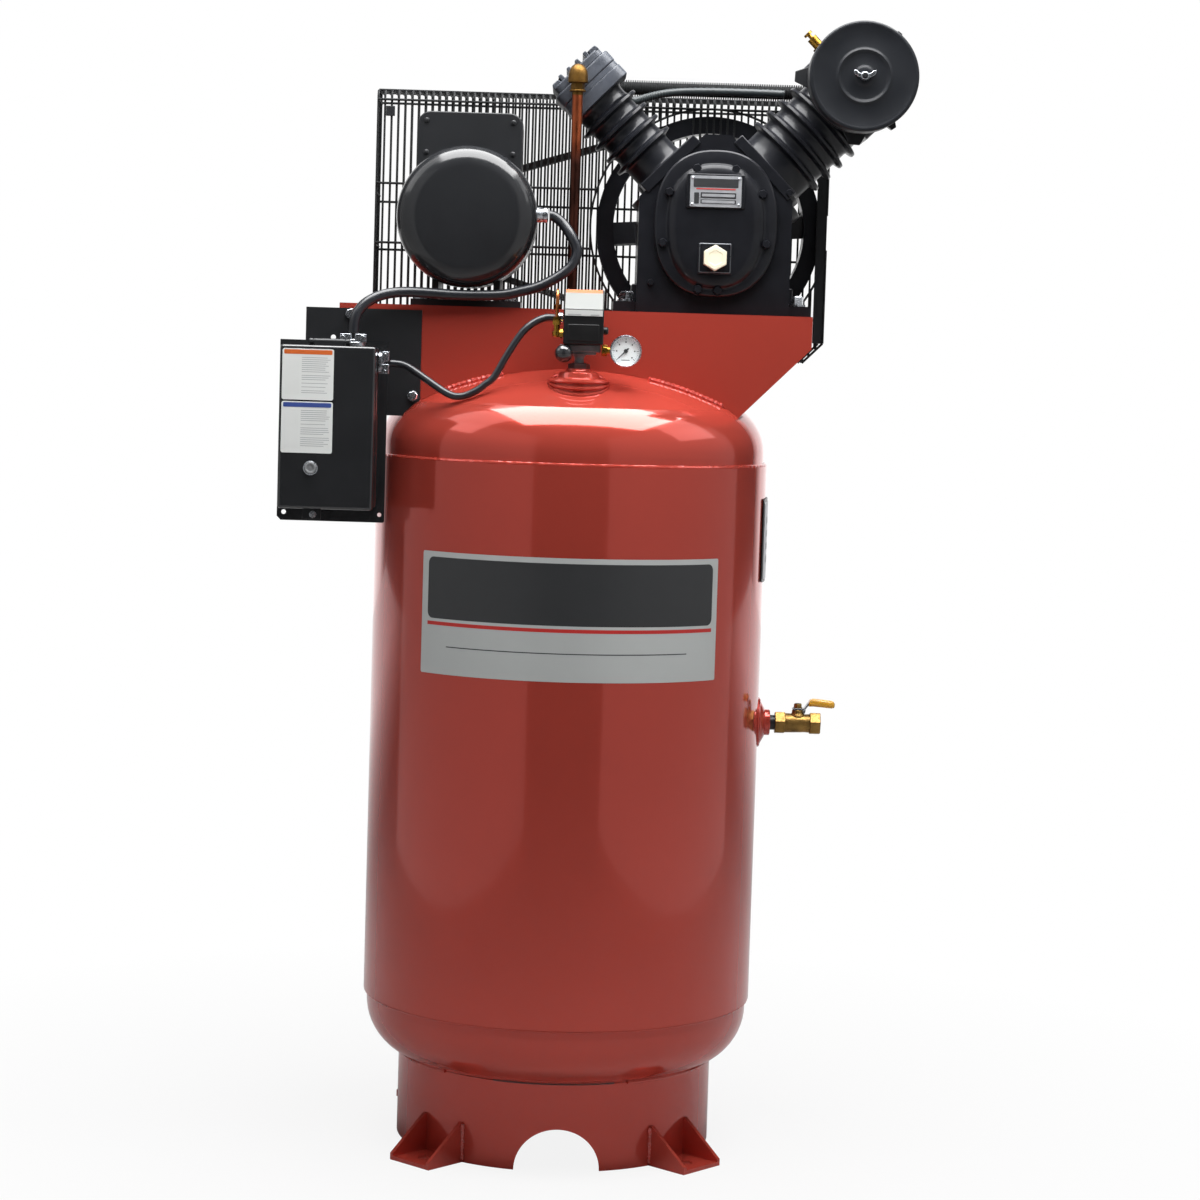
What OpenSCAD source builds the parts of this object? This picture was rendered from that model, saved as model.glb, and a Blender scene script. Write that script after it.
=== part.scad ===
// Vertical tank compressor: upright receiver, two-stage V pump, belt drive, starter and controls.
// Millimetres, +Z up, origin on the floor at the tank axis, front towards -Y.

/* [Tank] */
// Outer radius of the rolled shell
tank_r = 305; // [280:1:330]
// Sheet thickness of the shell and heads
tank_t = 5; // [4:0.5:7]
// Height of the lower seam above the floor
seam_z = 229; // [215:1:250]
// Length of the shell between its seams
shell_h = 840; // [700:1:1000]
// Straight flange of a head outside the shell
head_flange = 16; // [10:1:25]
// Lap of a head inside the shell
head_lap = 20; // [12:1:30]
// Depth of the dished part of a head
head_depth = 137; // [125:1:150]
// Knuckle radius of a head
knuckle_r = 85; // [75:1:95]
// Turn of the tank about its own axis, seen from above
tank_turn = 2; // [-4:0.5:4]
// Outer radius of the base skirt
skirt_r = 247; // [235:1:255]
// Sheet thickness of the skirt
skirt_t = 5; // [4:0.5:7]
// Radius of the half-round opening in the skirt
arch_r = 65; // [45:1:75]

/* [Feet] */
// Width of a foot bracket
foot_w = 84; // [60:1:100]
// Height of a foot bracket where it meets the skirt
foot_h = 62; // [45:1:80]
// Reach of a foot bracket beyond the skirt
foot_reach = 68; // [55:1:80]
// Sheet thickness of a foot bracket
foot_t = 6; // [4:0.5:8]
// Reach of the foot bolt circle beyond the skirt
foot_bolt_reach = 37; // [31:0.5:45]
// Radius of a foot bolt hole
foot_hole_r = 8.5; // [6:0.5:10]

/* [Saddle] */
// Clear height of the saddle top above the top of the tank
saddle_rise = 78.5; // [60:0.5:100]
// Half length of the saddle
saddle_hx = 360; // [340:1:380]
// Half width of the saddle
saddle_hy = 115; // [105:1:125]
// Sheet thickness of the saddle
saddle_t = 5; // [4:0.5:7]
// Height of the saddle's square ends
saddle_end_h = 49; // [35:1:60]

/* [Pump] */
// Place of the crank axis to the right of the tank axis
crank_x = 208; // [200:1:214]
// Height of the crank axis above the saddle
crank_h = 138; // [132:1:145]
// Half width of the crankcase
case_hx = 117; // [112:1:120]
// Height of the crankcase shoulder above the crank axis
case_shoulder = 38; // [34:1:42]
// Front face of the crankcase
case_front = -85; // [-92:1:-80]
// Length of the crankcase
case_len = 160; // [152:1:166]
// Wall of the crankcase
case_wall = 12; // [9:0.5:14]
// Thickness of the pump's foot flange
pump_foot_t = 16; // [12:1:20]
// Half spacing of the pump's foot bolts across the pump
pump_bolt_dx = 130; // [127:1:134]
// Radius of the front cover
cover_r = 98; // [94:1:102]
// Thickness of the front cover
cover_t = 16; // [12:1:20]
// Radius of the crankshaft's main journals
journal_r = 17.5; // [15:0.5:19]
// Outer radius of a main bearing
bearing_r = 36; // [33:0.5:38]
// Width of a main bearing
bearing_w = 18; // [14:0.5:20]
// Throw of the crank
crank_throw = 32; // [26:0.5:34]
// Radius of the crankpin
crankpin_r = 15; // [12:0.5:16]
// Width of a connecting rod
rod_w = 16; // [12:0.5:18]
// Distance between the two connecting rods along the shaft
rod_pitch = 24; // [22:0.5:28]
// Bore radius of the small cylinder
small_bore_r = 34; // [30:0.5:36]
// Bore radius of the large cylinder
large_bore_r = 52; // [48:0.5:54]
// Wall of the cylinders
cylinder_wall = 7; // [6:0.5:9]
// Reach of the cooling fins beyond the barrels
fin_reach = 12; // [8:0.5:15]
// Thickness of a cooling fin
fin_t = 8; // [5:0.5:9]
// Number of cooling fins on a cylinder
fin_count = 4; // [3:1:5]
// Height of the first cooling fin above the crankcase
fin_rise = 48.5; // [36:0.5:54]
// Length of a cylinder above the crankcase
cylinder_len = 170; // [162:1:176]
// Thickness of a valve plate
valve_plate_t = 8; // [6:0.5:10]
// Height of the cylinder heads
head_h = 40; // [36:1:46]
// Offset of the heads towards the middle of the V
head_shift = 7; // [0:0.5:9]

/* [Air filter] */
// Radius of the filter canister
filter_r = 80; // [74:1:84]
// Depth of the filter canister
filter_depth = 78; // [70:1:84]
// Sheet thickness of the filter canister
filter_t = 2; // [1.5:0.25:3]

/* [Drive] */
// Outer radius of the flywheel
flywheel_r = 180; // [172:1:186]
// Width of the flywheel and pulley rims
rim_w = 50; // [46:1:54]
// Front face of the rims behind the tank axis
rim_y = 140; // [137:1:144]
// Depth of the flywheel rim
rim_depth = 27; // [22:1:30]
// Outer radius of the motor pulley
pulley_r = 72; // [66:1:78]
// Top width of a belt
belt_w = 16; // [13:0.5:17]
// Depth of a belt
belt_d = 10; // [8:0.5:11]
// Distance between the belts
belt_pitch = 20; // [19:0.5:21]

/* [Motor] */
// Place of the motor axis to the left of the tank axis
motor_x = 170; // [160:1:180]
// Height of the motor axis above the saddle
motor_h = 135; // [130:1:140]
// Outer radius of the motor frame
motor_r = 104; // [98:1:106]
// Radius of the dished front bell
bell_r = 107; // [106.5:0.5:110]
// Front face of the motor
motor_front = -150; // [-158:1:-144]
// Length of the motor body
motor_len = 250; // [240:1:256]
// Radius of the motor shaft
shaft_r = 14; // [12:0.5:16]

/* [Guard] */
// Left end of the belt guard
guard_x0 = -326; // [-345:1:-320]
// Right end of the belt guard
guard_x1 = 397; // [394:1:412]
// Bottom of the belt guard above the saddle
guard_drop = -72; // [-80:1:-66]
// Height of the guard's top above the saddle
guard_top = 344; // [336:1:352]
// Front plane of the guard
guard_y0 = 124; // [121:1:127]
// Depth of the guard
guard_depth = 90; // [84:1:96]
// Wire diameter of the guard
wire_d = 4; // [3:0.5:4]
// Distance between the upright wires
wire_pitch = 11; // [9:0.5:16]

/* [Controls] */
// Reach of the top coupling from the tank axis towards the front
coupling_y = 185; // [175:1:195]
// Half width of the pressure switch
switch_hx = 30; // [26:0.5:32]
// Height of the pressure switch body
switch_h = 82; // [74:1:90]
// Radius of the gauge case
gauge_r = 24; // [20:0.5:26]
// Width of the starter cover
starter_w = 142; // [130:1:150]
// Height of the starter cover
starter_h = 243; // [230:1:250]
// Depth of the starter box with its cover
starter_d = 117; // [110:1:124]
// Sheet thickness of the starter box
starter_t = 2; // [1.5:0.25:3]
// Radius of the motor lead
motor_lead_r = 8; // [6:0.5:9]
// Radius of the switch lead
switch_lead_r = 5.5; // [4.5:0.5:6.5]

/* [Outlet] */
// Height of the outlet above the floor
outlet_z = 664; // [600:1:720]
// Inner radius of the outlet thread
outlet_bore_r = 12; // [10:0.5:13]
// Outer radius of the valve's hex ends
valve_hex_r = 19; // [17:0.5:21]
// Length of the valve lever
lever_len = 62; // [50:1:80]

/* [Hidden] */
$fn = 96;
// Gap between resting pieces, and running clearance of a shaft in its hole
fit = 0.3;
run = 0.05;
// Length that carries a cut past the faces it goes through
over = 2;
// Colours of the paints and metals
red_paint = [0.66, 0.13, 0.1];
black_paint = [0.1, 0.1, 0.11];
cast_black = [0.13, 0.13, 0.14];
steel = [0.72, 0.73, 0.75];
brass = [0.8, 0.62, 0.25];
copper = [0.72, 0.4, 0.24];

// Dished heads: crown radius from the depth and knuckle, a touch under tangent
head_r = tank_r - tank_t - fit;
crown_r = 0.99 * (pow(head_r - knuckle_r, 2) + pow(head_depth, 2) - pow(knuckle_r, 2))
    / (2 * (head_depth - knuckle_r));
blend_r = crown_r * (head_r - knuckle_r) / norm([head_r - knuckle_r, crown_r - head_depth]);
flange_r = head_r - 0.02;
upper_tangent_z = seam_z + shell_h + head_flange;
lower_tangent_z = seam_z - head_flange;
tank_top = upper_tangent_z + head_depth;
plate_z = tank_top + saddle_rise;
function crown_rise(r) = head_depth - crown_r + sqrt(pow(crown_r, 2) - r * r);
function knuckle_rise(r) = sqrt(max(0, pow(knuckle_r, 2) - pow(max(0, r - head_r + knuckle_r), 2)));
function dome_rise(r) = r > blend_r ? min(crown_rise(r), knuckle_rise(r)) : crown_rise(r);
function dome_z(r) = upper_tangent_z + dome_rise(r);

// Shafts
crank_z = plate_z + crank_h;
motor_z = plate_z + motor_h;
case_back = case_front + case_len;
motor_back = motor_front + motor_len;
rim_back = rim_y + rim_w;

// Round bar along Y or X, or ring along Y, from a start face
module bar_y(r, len) { rotate([-90, 0, 0]) cylinder(r = r, h = len); }
module bar_x(r, len) { rotate([0, 90, 0]) cylinder(r = r, h = len); }
module ring_y(r_out, r_in, len) {
    difference() {
        bar_y(r_out, len);
        translate([0, -over, 0]) bar_y(r_in, len + 2 * over);
    }
}
// Hexagon bar along Z, by its size across flats
module hex_z(flats, len) { cylinder(r = flats / sqrt(3), h = len, $fn = 6); }
module hex_x(flats, len) { rotate([0, 90, 0]) hex_z(flats, len); }
// Plate in the XZ plane from an outline, from a start face along Y
module plate_y(len) { translate([0, len, 0]) rotate([90, 0, 0]) linear_extrude(len) children(); }

// Half section of a dished head, grown or shrunk all round
module head_section(grow, foot) {
    intersection() {
        translate([0, -foot]) square([head_r * 2, foot + head_depth * 2]);
        translate([0, head_depth - crown_r]) circle(crown_r + grow);
        union() {
            translate([0, -foot]) square([flange_r + grow, foot]);
            square([blend_r, head_depth * 2]);
            translate([head_r - knuckle_r, 0]) circle(knuckle_r + grow);
        }
    }
}
// Solid body of a head, for cutting what stands on it
module head_body(grow) { rotate_extrude() head_section(grow, head_flange); }
module dished_head() {
    rotate_extrude() difference() {
        head_section(0, head_flange + head_lap);
        head_section(-tank_t, head_flange + head_lap + over);
    }
}
module on_top_head() { translate([0, 0, upper_tangent_z]) children(); }
module on_bottom_head() { translate([0, 0, lower_tangent_z]) mirror([0, 0, 1]) children(); }

module tank_shell() {
    weld = tank_t - 1;
    color(red_paint) difference() {
        rotate_extrude() {
            translate([tank_r - tank_t, seam_z]) square([tank_t, shell_h]);
            translate([tank_r - tank_t, seam_z + shell_h]) polygon([[0, 0], [weld, 0], [0, weld]]);
            translate([tank_r - tank_t, seam_z]) polygon([[0, 0], [weld, 0], [0, -weld]]);
        }
        translate([tank_r - 10 * tank_t, 0, outlet_z]) bar_x(outlet_bore_r, 20 * tank_t);
    }
}

module tank_heads() {
    color(red_paint) {
        difference() {
            on_top_head() dished_head();
            coupling_frame() translate([0, 0, -coupling_drop]) cylinder(r = coupling_bore_r, h = 80);
            translate([tube_x, tube_y, tank_top - 80]) cylinder(r = coupling_bore_r, h = 120);
        }
        difference() {
            on_bottom_head() dished_head();
            translate([0, 0, lower_tangent_z - head_depth - over]) cylinder(r = drain_bore_r, h = 4 * tank_t);
        }
    }
}

module base_skirt() {
    skirt_top = lower_tangent_z - dome_rise(skirt_r - skirt_t) + tank_t;
    color(red_paint) difference() {
        cylinder(r = skirt_r, h = skirt_top);
        translate([0, 0, -over]) cylinder(r = skirt_r - skirt_t, h = skirt_top + 2 * over);
        on_bottom_head() head_body(fit);
        rotate([0, 0, tank_turn]) translate([0, -skirt_r - over, 0]) bar_y(arch_r, skirt_r);
    }
}

// One bent foot: base with two gusset walls, pointing along +X
foot_bolt_r = skirt_r + foot_bolt_reach;
module foot_bracket() {
    root = skirt_r - foot_w * foot_w / (4 * skirt_r);
    toe = skirt_r + foot_reach;
    lip = foot_h / 6;
    difference() {
        union() {
            translate([root, -foot_w / 2, 0]) cube([toe - root, foot_w, foot_t]);
            for (side = [-foot_w / 2, foot_w / 2 - foot_t])
                translate([0, side, 0]) plate_y(foot_t)
                    polygon([[root, 0], [toe, 0], [toe, lip], [skirt_r, foot_h], [root, foot_h]]);
        }
        translate([0, 0, -over]) cylinder(r = skirt_r + fit / 3, h = foot_h + 2 * over);
        translate([foot_bolt_r, 0, -over]) cylinder(r = foot_hole_r, h = foot_t + 2 * over);
    }
}
module mounting_feet() {
    color(red_paint) for (turn = [45 : 90 : 315]) rotate([0, 0, turn + tank_turn]) foot_bracket();
}

// Where the controls stand on the top head, and where the discharge tube comes down
coupling_bore_r = 13;
coupling_x = coupling_y * sin(tank_turn);
coupling_base_z = dome_z(coupling_y);
coupling_drop = 30;
module coupling_frame() { translate([coupling_x, -coupling_y, coupling_base_z]) children(); }
tube_x = -8;
tube_y = -92;
tube_r = 8;
drain_bore_r = 7;

module tank_couplings() {
    pad_r = 44;
    ring_r = 31;
    collar = 22;
    outlet_pad_r = 36;
    outlet_pad = 9;
    outlet_collar = 10;
    weld_gap = 2 * fit;
    color(red_paint) {
        difference() {
            coupling_frame() union() {
                translate([0, 0, -coupling_drop]) cylinder(r = pad_r, h = coupling_drop + 7);
                cylinder(r = ring_r, h = collar);
            }
            on_top_head() head_body(weld_gap);
            coupling_frame() translate([0, 0, -coupling_drop - over])
                cylinder(r = coupling_bore_r, h = coupling_drop + collar + 2 * over);
        }
        difference() {
            translate([tank_r - outlet_pad, 0, outlet_z]) union() {
                bar_x(outlet_pad_r, 2 * outlet_pad);
                bar_x(outlet_pad_r * 0.6, 2 * outlet_pad + outlet_collar);
            }
            cylinder(r = tank_r + weld_gap, h = tank_top);
            translate([tank_r - 2 * outlet_pad, 0, outlet_z]) bar_x(outlet_bore_r, 6 * outlet_pad);
        }
    }
}

// Saddle: bent plate whose aprons are cut to the dome
module saddle() {
    apron_low = upper_tangent_z;
    slope = plate_z - saddle_end_h - apron_low;
    color(red_paint) difference() {
        union() {
            translate([-saddle_hx, -saddle_hy, plate_z - saddle_t])
                cube([2 * saddle_hx, 2 * saddle_hy, saddle_t]);
            for (y = [-saddle_hy, saddle_hy - saddle_t])
                translate([0, y, 0]) plate_y(saddle_t) polygon([
                    [-saddle_hx, plate_z], [saddle_hx, plate_z],
                    [saddle_hx, plate_z - saddle_end_h], [saddle_hx - slope, apron_low],
                    [slope - saddle_hx, apron_low], [-saddle_hx, plate_z - saddle_end_h]
                ]);
        }
        on_top_head() head_body(fit / 3);
        translate([tube_x, tube_y, plate_z - 2 * saddle_t]) cylinder(r = 2 * tube_r, h = 4 * saddle_t);
    }
}

// Pump frames: the crank axis, and the two cylinder axes of the V with local Z along the bore
deck_d = (case_hx + case_shoulder) / sqrt(2);
plate_d = deck_d + cylinder_len;
head_d = plate_d + valve_plate_t;
case_top_hx = 20;
case_top = case_shoulder + case_hx - case_top_hx;
seat = fit / 3;
module pump_frame() { translate([crank_x, 0, crank_z]) children(); }
module small_frame() { pump_frame() rotate([0, -45, 0]) translate([0, -rod_pitch / 2, 0]) children(); }
module large_frame() { pump_frame() rotate([0, 45, 0]) translate([0, rod_pitch / 2, 0]) children(); }
small_hx = small_bore_r + 19;
small_hy = small_bore_r + 26;
large_hx = large_bore_r + 21;
large_hy = large_bore_r + 22;

// Crankcase front outline, drawn in by a wall
module case_outline(wall, floor_z) {
    bevel = case_hx + case_shoulder - wall * sqrt(2);
    side = case_hx - wall;
    top = case_top - wall;
    polygon([
        [-side, floor_z], [side, floor_z], [side, bevel - side],
        [bevel - top, top], [top - bevel, top], [-side, bevel - side]
    ]);
}
pump_foot_hx = pump_bolt_dx + 22;
pump_bolt_dy = case_len / 2 - 32;
pump_bolt_r = 7;
case_mid_y = case_front + case_len / 2;
cover_spigot_r = cover_r - 22;
module at_pump_bolts() {
    for (sx = [-1, 1], sy = [-1, 1])
        translate([crank_x + sx * pump_bolt_dx, case_mid_y + sy * pump_bolt_dy, plate_z]) children();
}
module crankcase() {
    foot_hy = case_len / 2 - 12;
    boss_len = bearing_w - case_wall + 2;
    color(cast_black) difference() {
        pump_frame() union() {
            translate([0, case_front, 0]) plate_y(case_len) case_outline(0, -crank_h + seat);
            translate([-pump_foot_hx, case_mid_y - foot_hy, -crank_h + seat])
                cube([2 * pump_foot_hx, 2 * foot_hy, pump_foot_t]);
            translate([0, case_back, 0]) bar_y(bearing_r + 10, boss_len);
        }
        pump_frame() {
            translate([0, case_front + case_wall, 0]) plate_y(case_len - 2 * case_wall)
                case_outline(case_wall, -crank_h + pump_foot_t + case_wall);
            translate([0, case_front - over, 0]) bar_y(cover_spigot_r, case_wall + 2 * over);
            translate([0, case_back - case_wall - over, 0]) bar_y(bearing_r + run, bearing_w + 4 * over);
        }
        small_frame() translate([0, 0, deck_d / 2]) cylinder(r = small_bore_r + 3, h = deck_d);
        large_frame() translate([0, 0, deck_d / 2]) cylinder(r = large_bore_r + 3, h = deck_d);
        at_pump_bolts() translate([0, 0, -over]) cylinder(r = pump_bolt_r, h = pump_foot_t + 2 * over);
    }
}

// Front cover: oval plate with a spigot that carries the front bearing, name boss and filler pad
cover_rise = 16;
cover_y = case_front - seat - cover_t;
name_boss = [76, 8, 46];
name_z = 46;
filler_z = -53;
filler_pad = 45;
filler_hex = 35;
filler_r = 11;
front_bearing_y = case_front + 2;
module crankcase_cover() {
    spigot_len = bearing_w + 4;
    color(cast_black) pump_frame() difference() {
        union() {
            for (z = [-cover_rise, cover_rise]) translate([0, cover_y, z]) bar_y(cover_r - 4, cover_t);
            translate([-cover_r + 6, cover_y, -cover_rise]) cube([2 * cover_r - 12, cover_t, 2 * cover_rise]);
            translate([0, cover_y, 0]) bar_y(cover_spigot_r - fit, cover_t + seat + case_wall);
            translate([0, cover_y, 0]) bar_y(bearing_r + 10, cover_t + seat + spigot_len);
            translate([-name_boss[0] / 2, cover_y - name_boss[1], name_z - name_boss[2] / 2])
                cube([name_boss[0], name_boss[1] + cover_t / 2, name_boss[2]]);
            translate([-filler_pad / 2, cover_y - 4, filler_z - filler_pad / 2])
                cube([filler_pad, 12, filler_pad]);
        }
        translate([0, front_bearing_y, 0]) bar_y(bearing_r + run, 2 * spigot_len);
        translate([0, cover_y - 3 * over, filler_z]) bar_y(filler_r, cover_t + 6 * over);
    }
}
module oil_plug() {
    color([0.9, 0.84, 0.62]) pump_frame() translate([0, cover_y - 4 - seat, filler_z]) {
        rotate([90, 0, 0]) hex_z(filler_hex, 14);
        bar_y(filler_r - fit, cover_t);
    }
}

// Shaft from the front bearing to the flywheel hub, with two full-disc webs
web_t = 14;
web_gap = rod_pitch + rod_w + 6;
web_r = crank_throw + crankpin_r + 4;
rear_bearing_y = case_back - case_wall;
hub_r = 42;
module crankshaft() {
    front = front_bearing_y + 2;
    color(steel) pump_frame() {
        translate([0, front, 0]) bar_y(journal_r, -web_gap / 2 - front);
        for (y = [-web_gap / 2 - web_t, web_gap / 2]) translate([0, y, 0]) bar_y(web_r, web_t);
        translate([crank_throw, -web_gap / 2 - web_t / 2, 0]) bar_y(crankpin_r, web_gap + web_t);
        translate([0, web_gap / 2, 0]) bar_y(journal_r, rim_back - web_gap / 2);
    }
}
module bearings() {
    color(steel) {
        pump_frame() for (y = [front_bearing_y, rear_bearing_y])
            translate([0, y, 0]) ring_y(bearing_r, journal_r + run, bearing_w);
        motor_frame_at() for (y = [motor_bearing_front, motor_bearing_back])
            translate([0, y, 0]) ring_y(motor_bearing_r, shaft_r + run, motor_bearing_w);
    }
}

// Rods hang from the wrist pins; their big eyes are bored to the crankpin's whole circle
rod_eye_r = crank_throw + crankpin_r + 1;
pin_r = 9;
piston_crown = 26;
pin_d = plate_d - crank_throw - piston_crown - 3;
module connecting_rod() {
    small_r = pin_r + 6;
    shank = pin_d - small_r - rod_eye_r - 6;
    difference() {
        union() {
            translate([0, -rod_w / 2, 0]) bar_y(rod_eye_r + 9, rod_w);
            translate([0, -rod_w / 2, pin_d]) bar_y(small_r, rod_w);
            translate([-small_r * 0.6, -rod_w / 4, rod_eye_r + 4])
                cube([small_r * 1.2, rod_w / 2, shank + 8]);
        }
        translate([0, -rod_w, 0]) bar_y(rod_eye_r, 2 * rod_w);
        translate([0, -rod_w, pin_d]) bar_y(pin_r + run, 2 * rod_w);
    }
}
module connecting_rods() {
    color(steel) {
        small_frame() connecting_rod();
        large_frame() connecting_rod();
    }
}
module piston(bore) {
    skirt = 20;
    difference() {
        translate([0, 0, pin_d - skirt]) cylinder(r = bore - seat, h = skirt + piston_crown);
        translate([0, 0, pin_d - skirt - over]) cylinder(r = bore - 7, h = skirt + piston_crown - 6);
        translate([0, -bore, pin_d]) bar_y(pin_r + run, 2 * bore);
    }
    translate([0, over - bore, pin_d]) bar_y(pin_r, 2 * bore - 2 * over);
}
module pistons() {
    color(steel) {
        small_frame() piston(small_bore_r);
        large_frame() piston(large_bore_r);
    }
}

// Cylinder with a round base flange, a square top flange and round cooling fins
module finned_cylinder(bore, hx, hy, shift) {
    barrel = bore + cylinder_wall;
    base = 12;
    flange = 20;
    pitch = (cylinder_len - flange - fin_rise) / fin_count;
    translate([0, 0, deck_d]) difference() {
        union() {
            translate([0, 0, seat]) cylinder(r = barrel, h = cylinder_len - 2 * seat);
            translate([0, 0, seat]) cylinder(r = barrel + 6, h = base);
            translate([shift - hx, -hy, cylinder_len - flange]) cube([2 * hx, 2 * hy, flange - seat]);
            for (i = [0 : fin_count - 1]) translate([0, 0, fin_rise + i * pitch - fin_t / 2])
                cylinder(r = barrel + fin_reach, h = fin_t);
        }
        translate([0, 0, -over]) cylinder(r = bore, h = cylinder_len + 2 * over);
    }
}
module small_cylinder() {
    color(cast_black) small_frame() finned_cylinder(small_bore_r, small_hx, small_hy, head_shift);
}
module large_cylinder() {
    color(cast_black) large_frame() finned_cylinder(large_bore_r, large_hx, large_hy, -head_shift);
}
module valve_plate(hx, hy, shift) {
    difference() {
        translate([shift - hx, -hy, plate_d]) cube([2 * hx, 2 * hy, valve_plate_t - seat]);
        for (y = [-hy / 3, hy / 3])
            translate([shift, y, plate_d - over]) cylinder(r = hx / 6, h = valve_plate_t * 2);
    }
}
module valve_plates() {
    color(steel) {
        small_frame() valve_plate(small_hx, small_hy, head_shift);
        large_frame() valve_plate(large_hx, large_hy, -head_shift);
    }
}

// Ribbed head: a base, a narrower crown and ribs from front to back over the top
module cylinder_head(hx, hy) {
    base = head_h / 2;
    crown = head_h - 9;
    crown_hx = hx - 7;
    rib = 7;
    rib_pitch = 16;
    wall = 9;
    ribs = floor((2 * crown_hx - rib) / rib_pitch);
    step = (2 * crown_hx - rib) / ribs;
    difference() {
        translate([0, 0, head_d]) union() {
            translate([-hx, -hy, 0]) cube([2 * hx, 2 * hy, base]);
            translate([-crown_hx, -hy, 0]) cube([2 * crown_hx, 2 * hy, crown]);
            for (i = [0 : ribs])
                translate([i * step - crown_hx, -hy + 2, 0]) cube([rib, 2 * hy - 4, head_h]);
        }
        translate([-hx + 2 * wall, -hy + 2 * wall, head_d - over])
            cube([2 * hx - 4 * wall, 2 * hy - 4 * wall, crown - wall]);
    }
}
relief_d = head_d + head_h / 2;
relief_y = -large_hy / 3;
module small_head() {
    color(cast_black) small_frame() translate([head_shift, 0, 0]) cylinder_head(small_hx, small_hy);
}
module large_head() {
    boss_r = 13;
    color(cast_black) large_frame() translate([-head_shift, 0, 0]) {
        cylinder_head(large_hx, large_hy);
        translate([-large_hx, relief_y, relief_d]) rotate([0, 90, 0]) cylinder(r = boss_r, h = boss_r);
    }
}

// Finned intercooler tube behind the heads, with a stub to each
cool_d = head_d + head_h / 4;
cool_lat = 10;
cool_r = 9;
cool_fin_r = 13;
cool_fin_pitch = 7;
cool_dx = (cool_d - cool_lat) / sqrt(2);
cool_dz = (cool_d + cool_lat) / sqrt(2);
cool_y = rod_pitch / 2 + large_hy + 18;
module intercooler() {
    small_back = -rod_pitch / 2 + small_hy + seat;
    large_back = rod_pitch / 2 + large_hy + seat;
    fins = floor((2 * cool_dx - 80) / cool_fin_pitch);
    color(cast_black) pump_frame() translate([0, 0, cool_dz]) {
        translate([-cool_dx - cool_r, cool_y, 0]) rotate([0, 90, 0]) rotate_extrude() {
            square([cool_r, 2 * cool_dx + 2 * cool_r]);
            for (i = [0 : fins]) translate([0, 40 + i * cool_fin_pitch]) square([cool_fin_r, 2]);
        }
        translate([-cool_dx, small_back, 0]) bar_y(cool_r - 1, cool_y - small_back);
        translate([cool_dx, large_back, 0]) bar_y(cool_r - 1, cool_y - large_back);
    }
}

// Relief valve on the inner side of the large head, and its pull stem
relief_len = 26;
relief_stem_r = 3;
module relief_frame() {
    large_frame() translate([-head_shift - large_hx - seat, relief_y, relief_d])
        rotate([0, -90, 0]) children();
}
module relief_valve() {
    color(brass) relief_frame() difference() {
        union() {
            hex_z(20, 10);
            cylinder(r = 8, h = relief_len);
        }
        translate([0, 0, 4]) cylinder(r = relief_stem_r + run, h = relief_len);
    }
}
module relief_stem() {
    color(brass) relief_frame() {
        translate([0, 0, 5]) cylinder(r = relief_stem_r, h = relief_len + 1);
        translate([0, 0, relief_len + 6]) cylinder(r = 7, h = 4);
        translate([0, 0, relief_len + 5]) cylinder(r = relief_stem_r, h = 3);
    }
}

// Air filter: canister along Y in front of the large head, on a neck with a strap that holds the stud
filter_d = head_d + head_h / 2;
neck_r = 17;
filter_back = rod_pitch / 2 - large_hy - 24;
filter_front = filter_back - filter_depth;
stud_r = 4;
filter_rim = 30;
module filter_frame() {
    translate([crank_x + (filter_d - head_shift) / sqrt(2), 0, crank_z + (filter_d + head_shift) / sqrt(2)])
        children();
}
module filter_housing() {
    head_face = rod_pitch / 2 - large_hy - seat;
    wall_front = filter_front + filter_t + fit;
    color(black_paint) filter_frame() {
        difference() {
            union() {
                translate([0, filter_back - filter_t, 0]) bar_y(filter_r, filter_t);
                translate([0, wall_front, 0]) ring_y(filter_r, filter_r - filter_t, filter_back - wall_front);
                translate([0, filter_back - filter_t / 2, 0])
                    bar_y(neck_r, head_face - filter_back + filter_t / 2);
            }
            translate([0, filter_back - filter_t - over, 0])
                bar_y(neck_r - 3, head_face - filter_back + filter_t + 2 * over);
        }
        translate([0, filter_front - 12, 0]) bar_y(stud_r, filter_depth + 11);
        translate([-neck_r, filter_back - filter_t, -stud_r]) cube([2 * neck_r, filter_t, 2 * stud_r]);
    }
}
module filter_element() {
    front = filter_front + filter_t + fit;
    color([0.85, 0.8, 0.65]) filter_frame() translate([0, front, 0])
        ring_y(filter_r - 10, 34, filter_back - filter_t - seat - front);
}
module filter_cover() {
    skin_r = filter_r + fit;
    emboss_r = 41;
    color(black_paint) filter_frame() difference() {
        union() {
            translate([0, filter_front, 0]) bar_y(skin_r + filter_t, filter_rim);
            translate([0, filter_front - 1.5, 0]) ring_y(emboss_r, emboss_r - 4, 3);
        }
        translate([0, filter_front + filter_t, 0]) bar_y(skin_r, filter_rim);
        translate([0, filter_front - over, 0]) bar_y(stud_r + fit, filter_t + 2 * over);
    }
}
module wing_nut() {
    color(steel) filter_frame() translate([0, filter_front - seat - 9, 0]) difference() {
        union() {
            bar_y(7, 9);
            for (side = [-1, 1]) translate([0, 2.5, 0]) plate_y(4)
                polygon([[side * 4, -3], [side * 14, 2], [side * 17, 8], [side * 13, 9], [side * 4, 4]]);
        }
        translate([0, -over, 0]) bar_y(stud_r + run, 20);
    }
}

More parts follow.
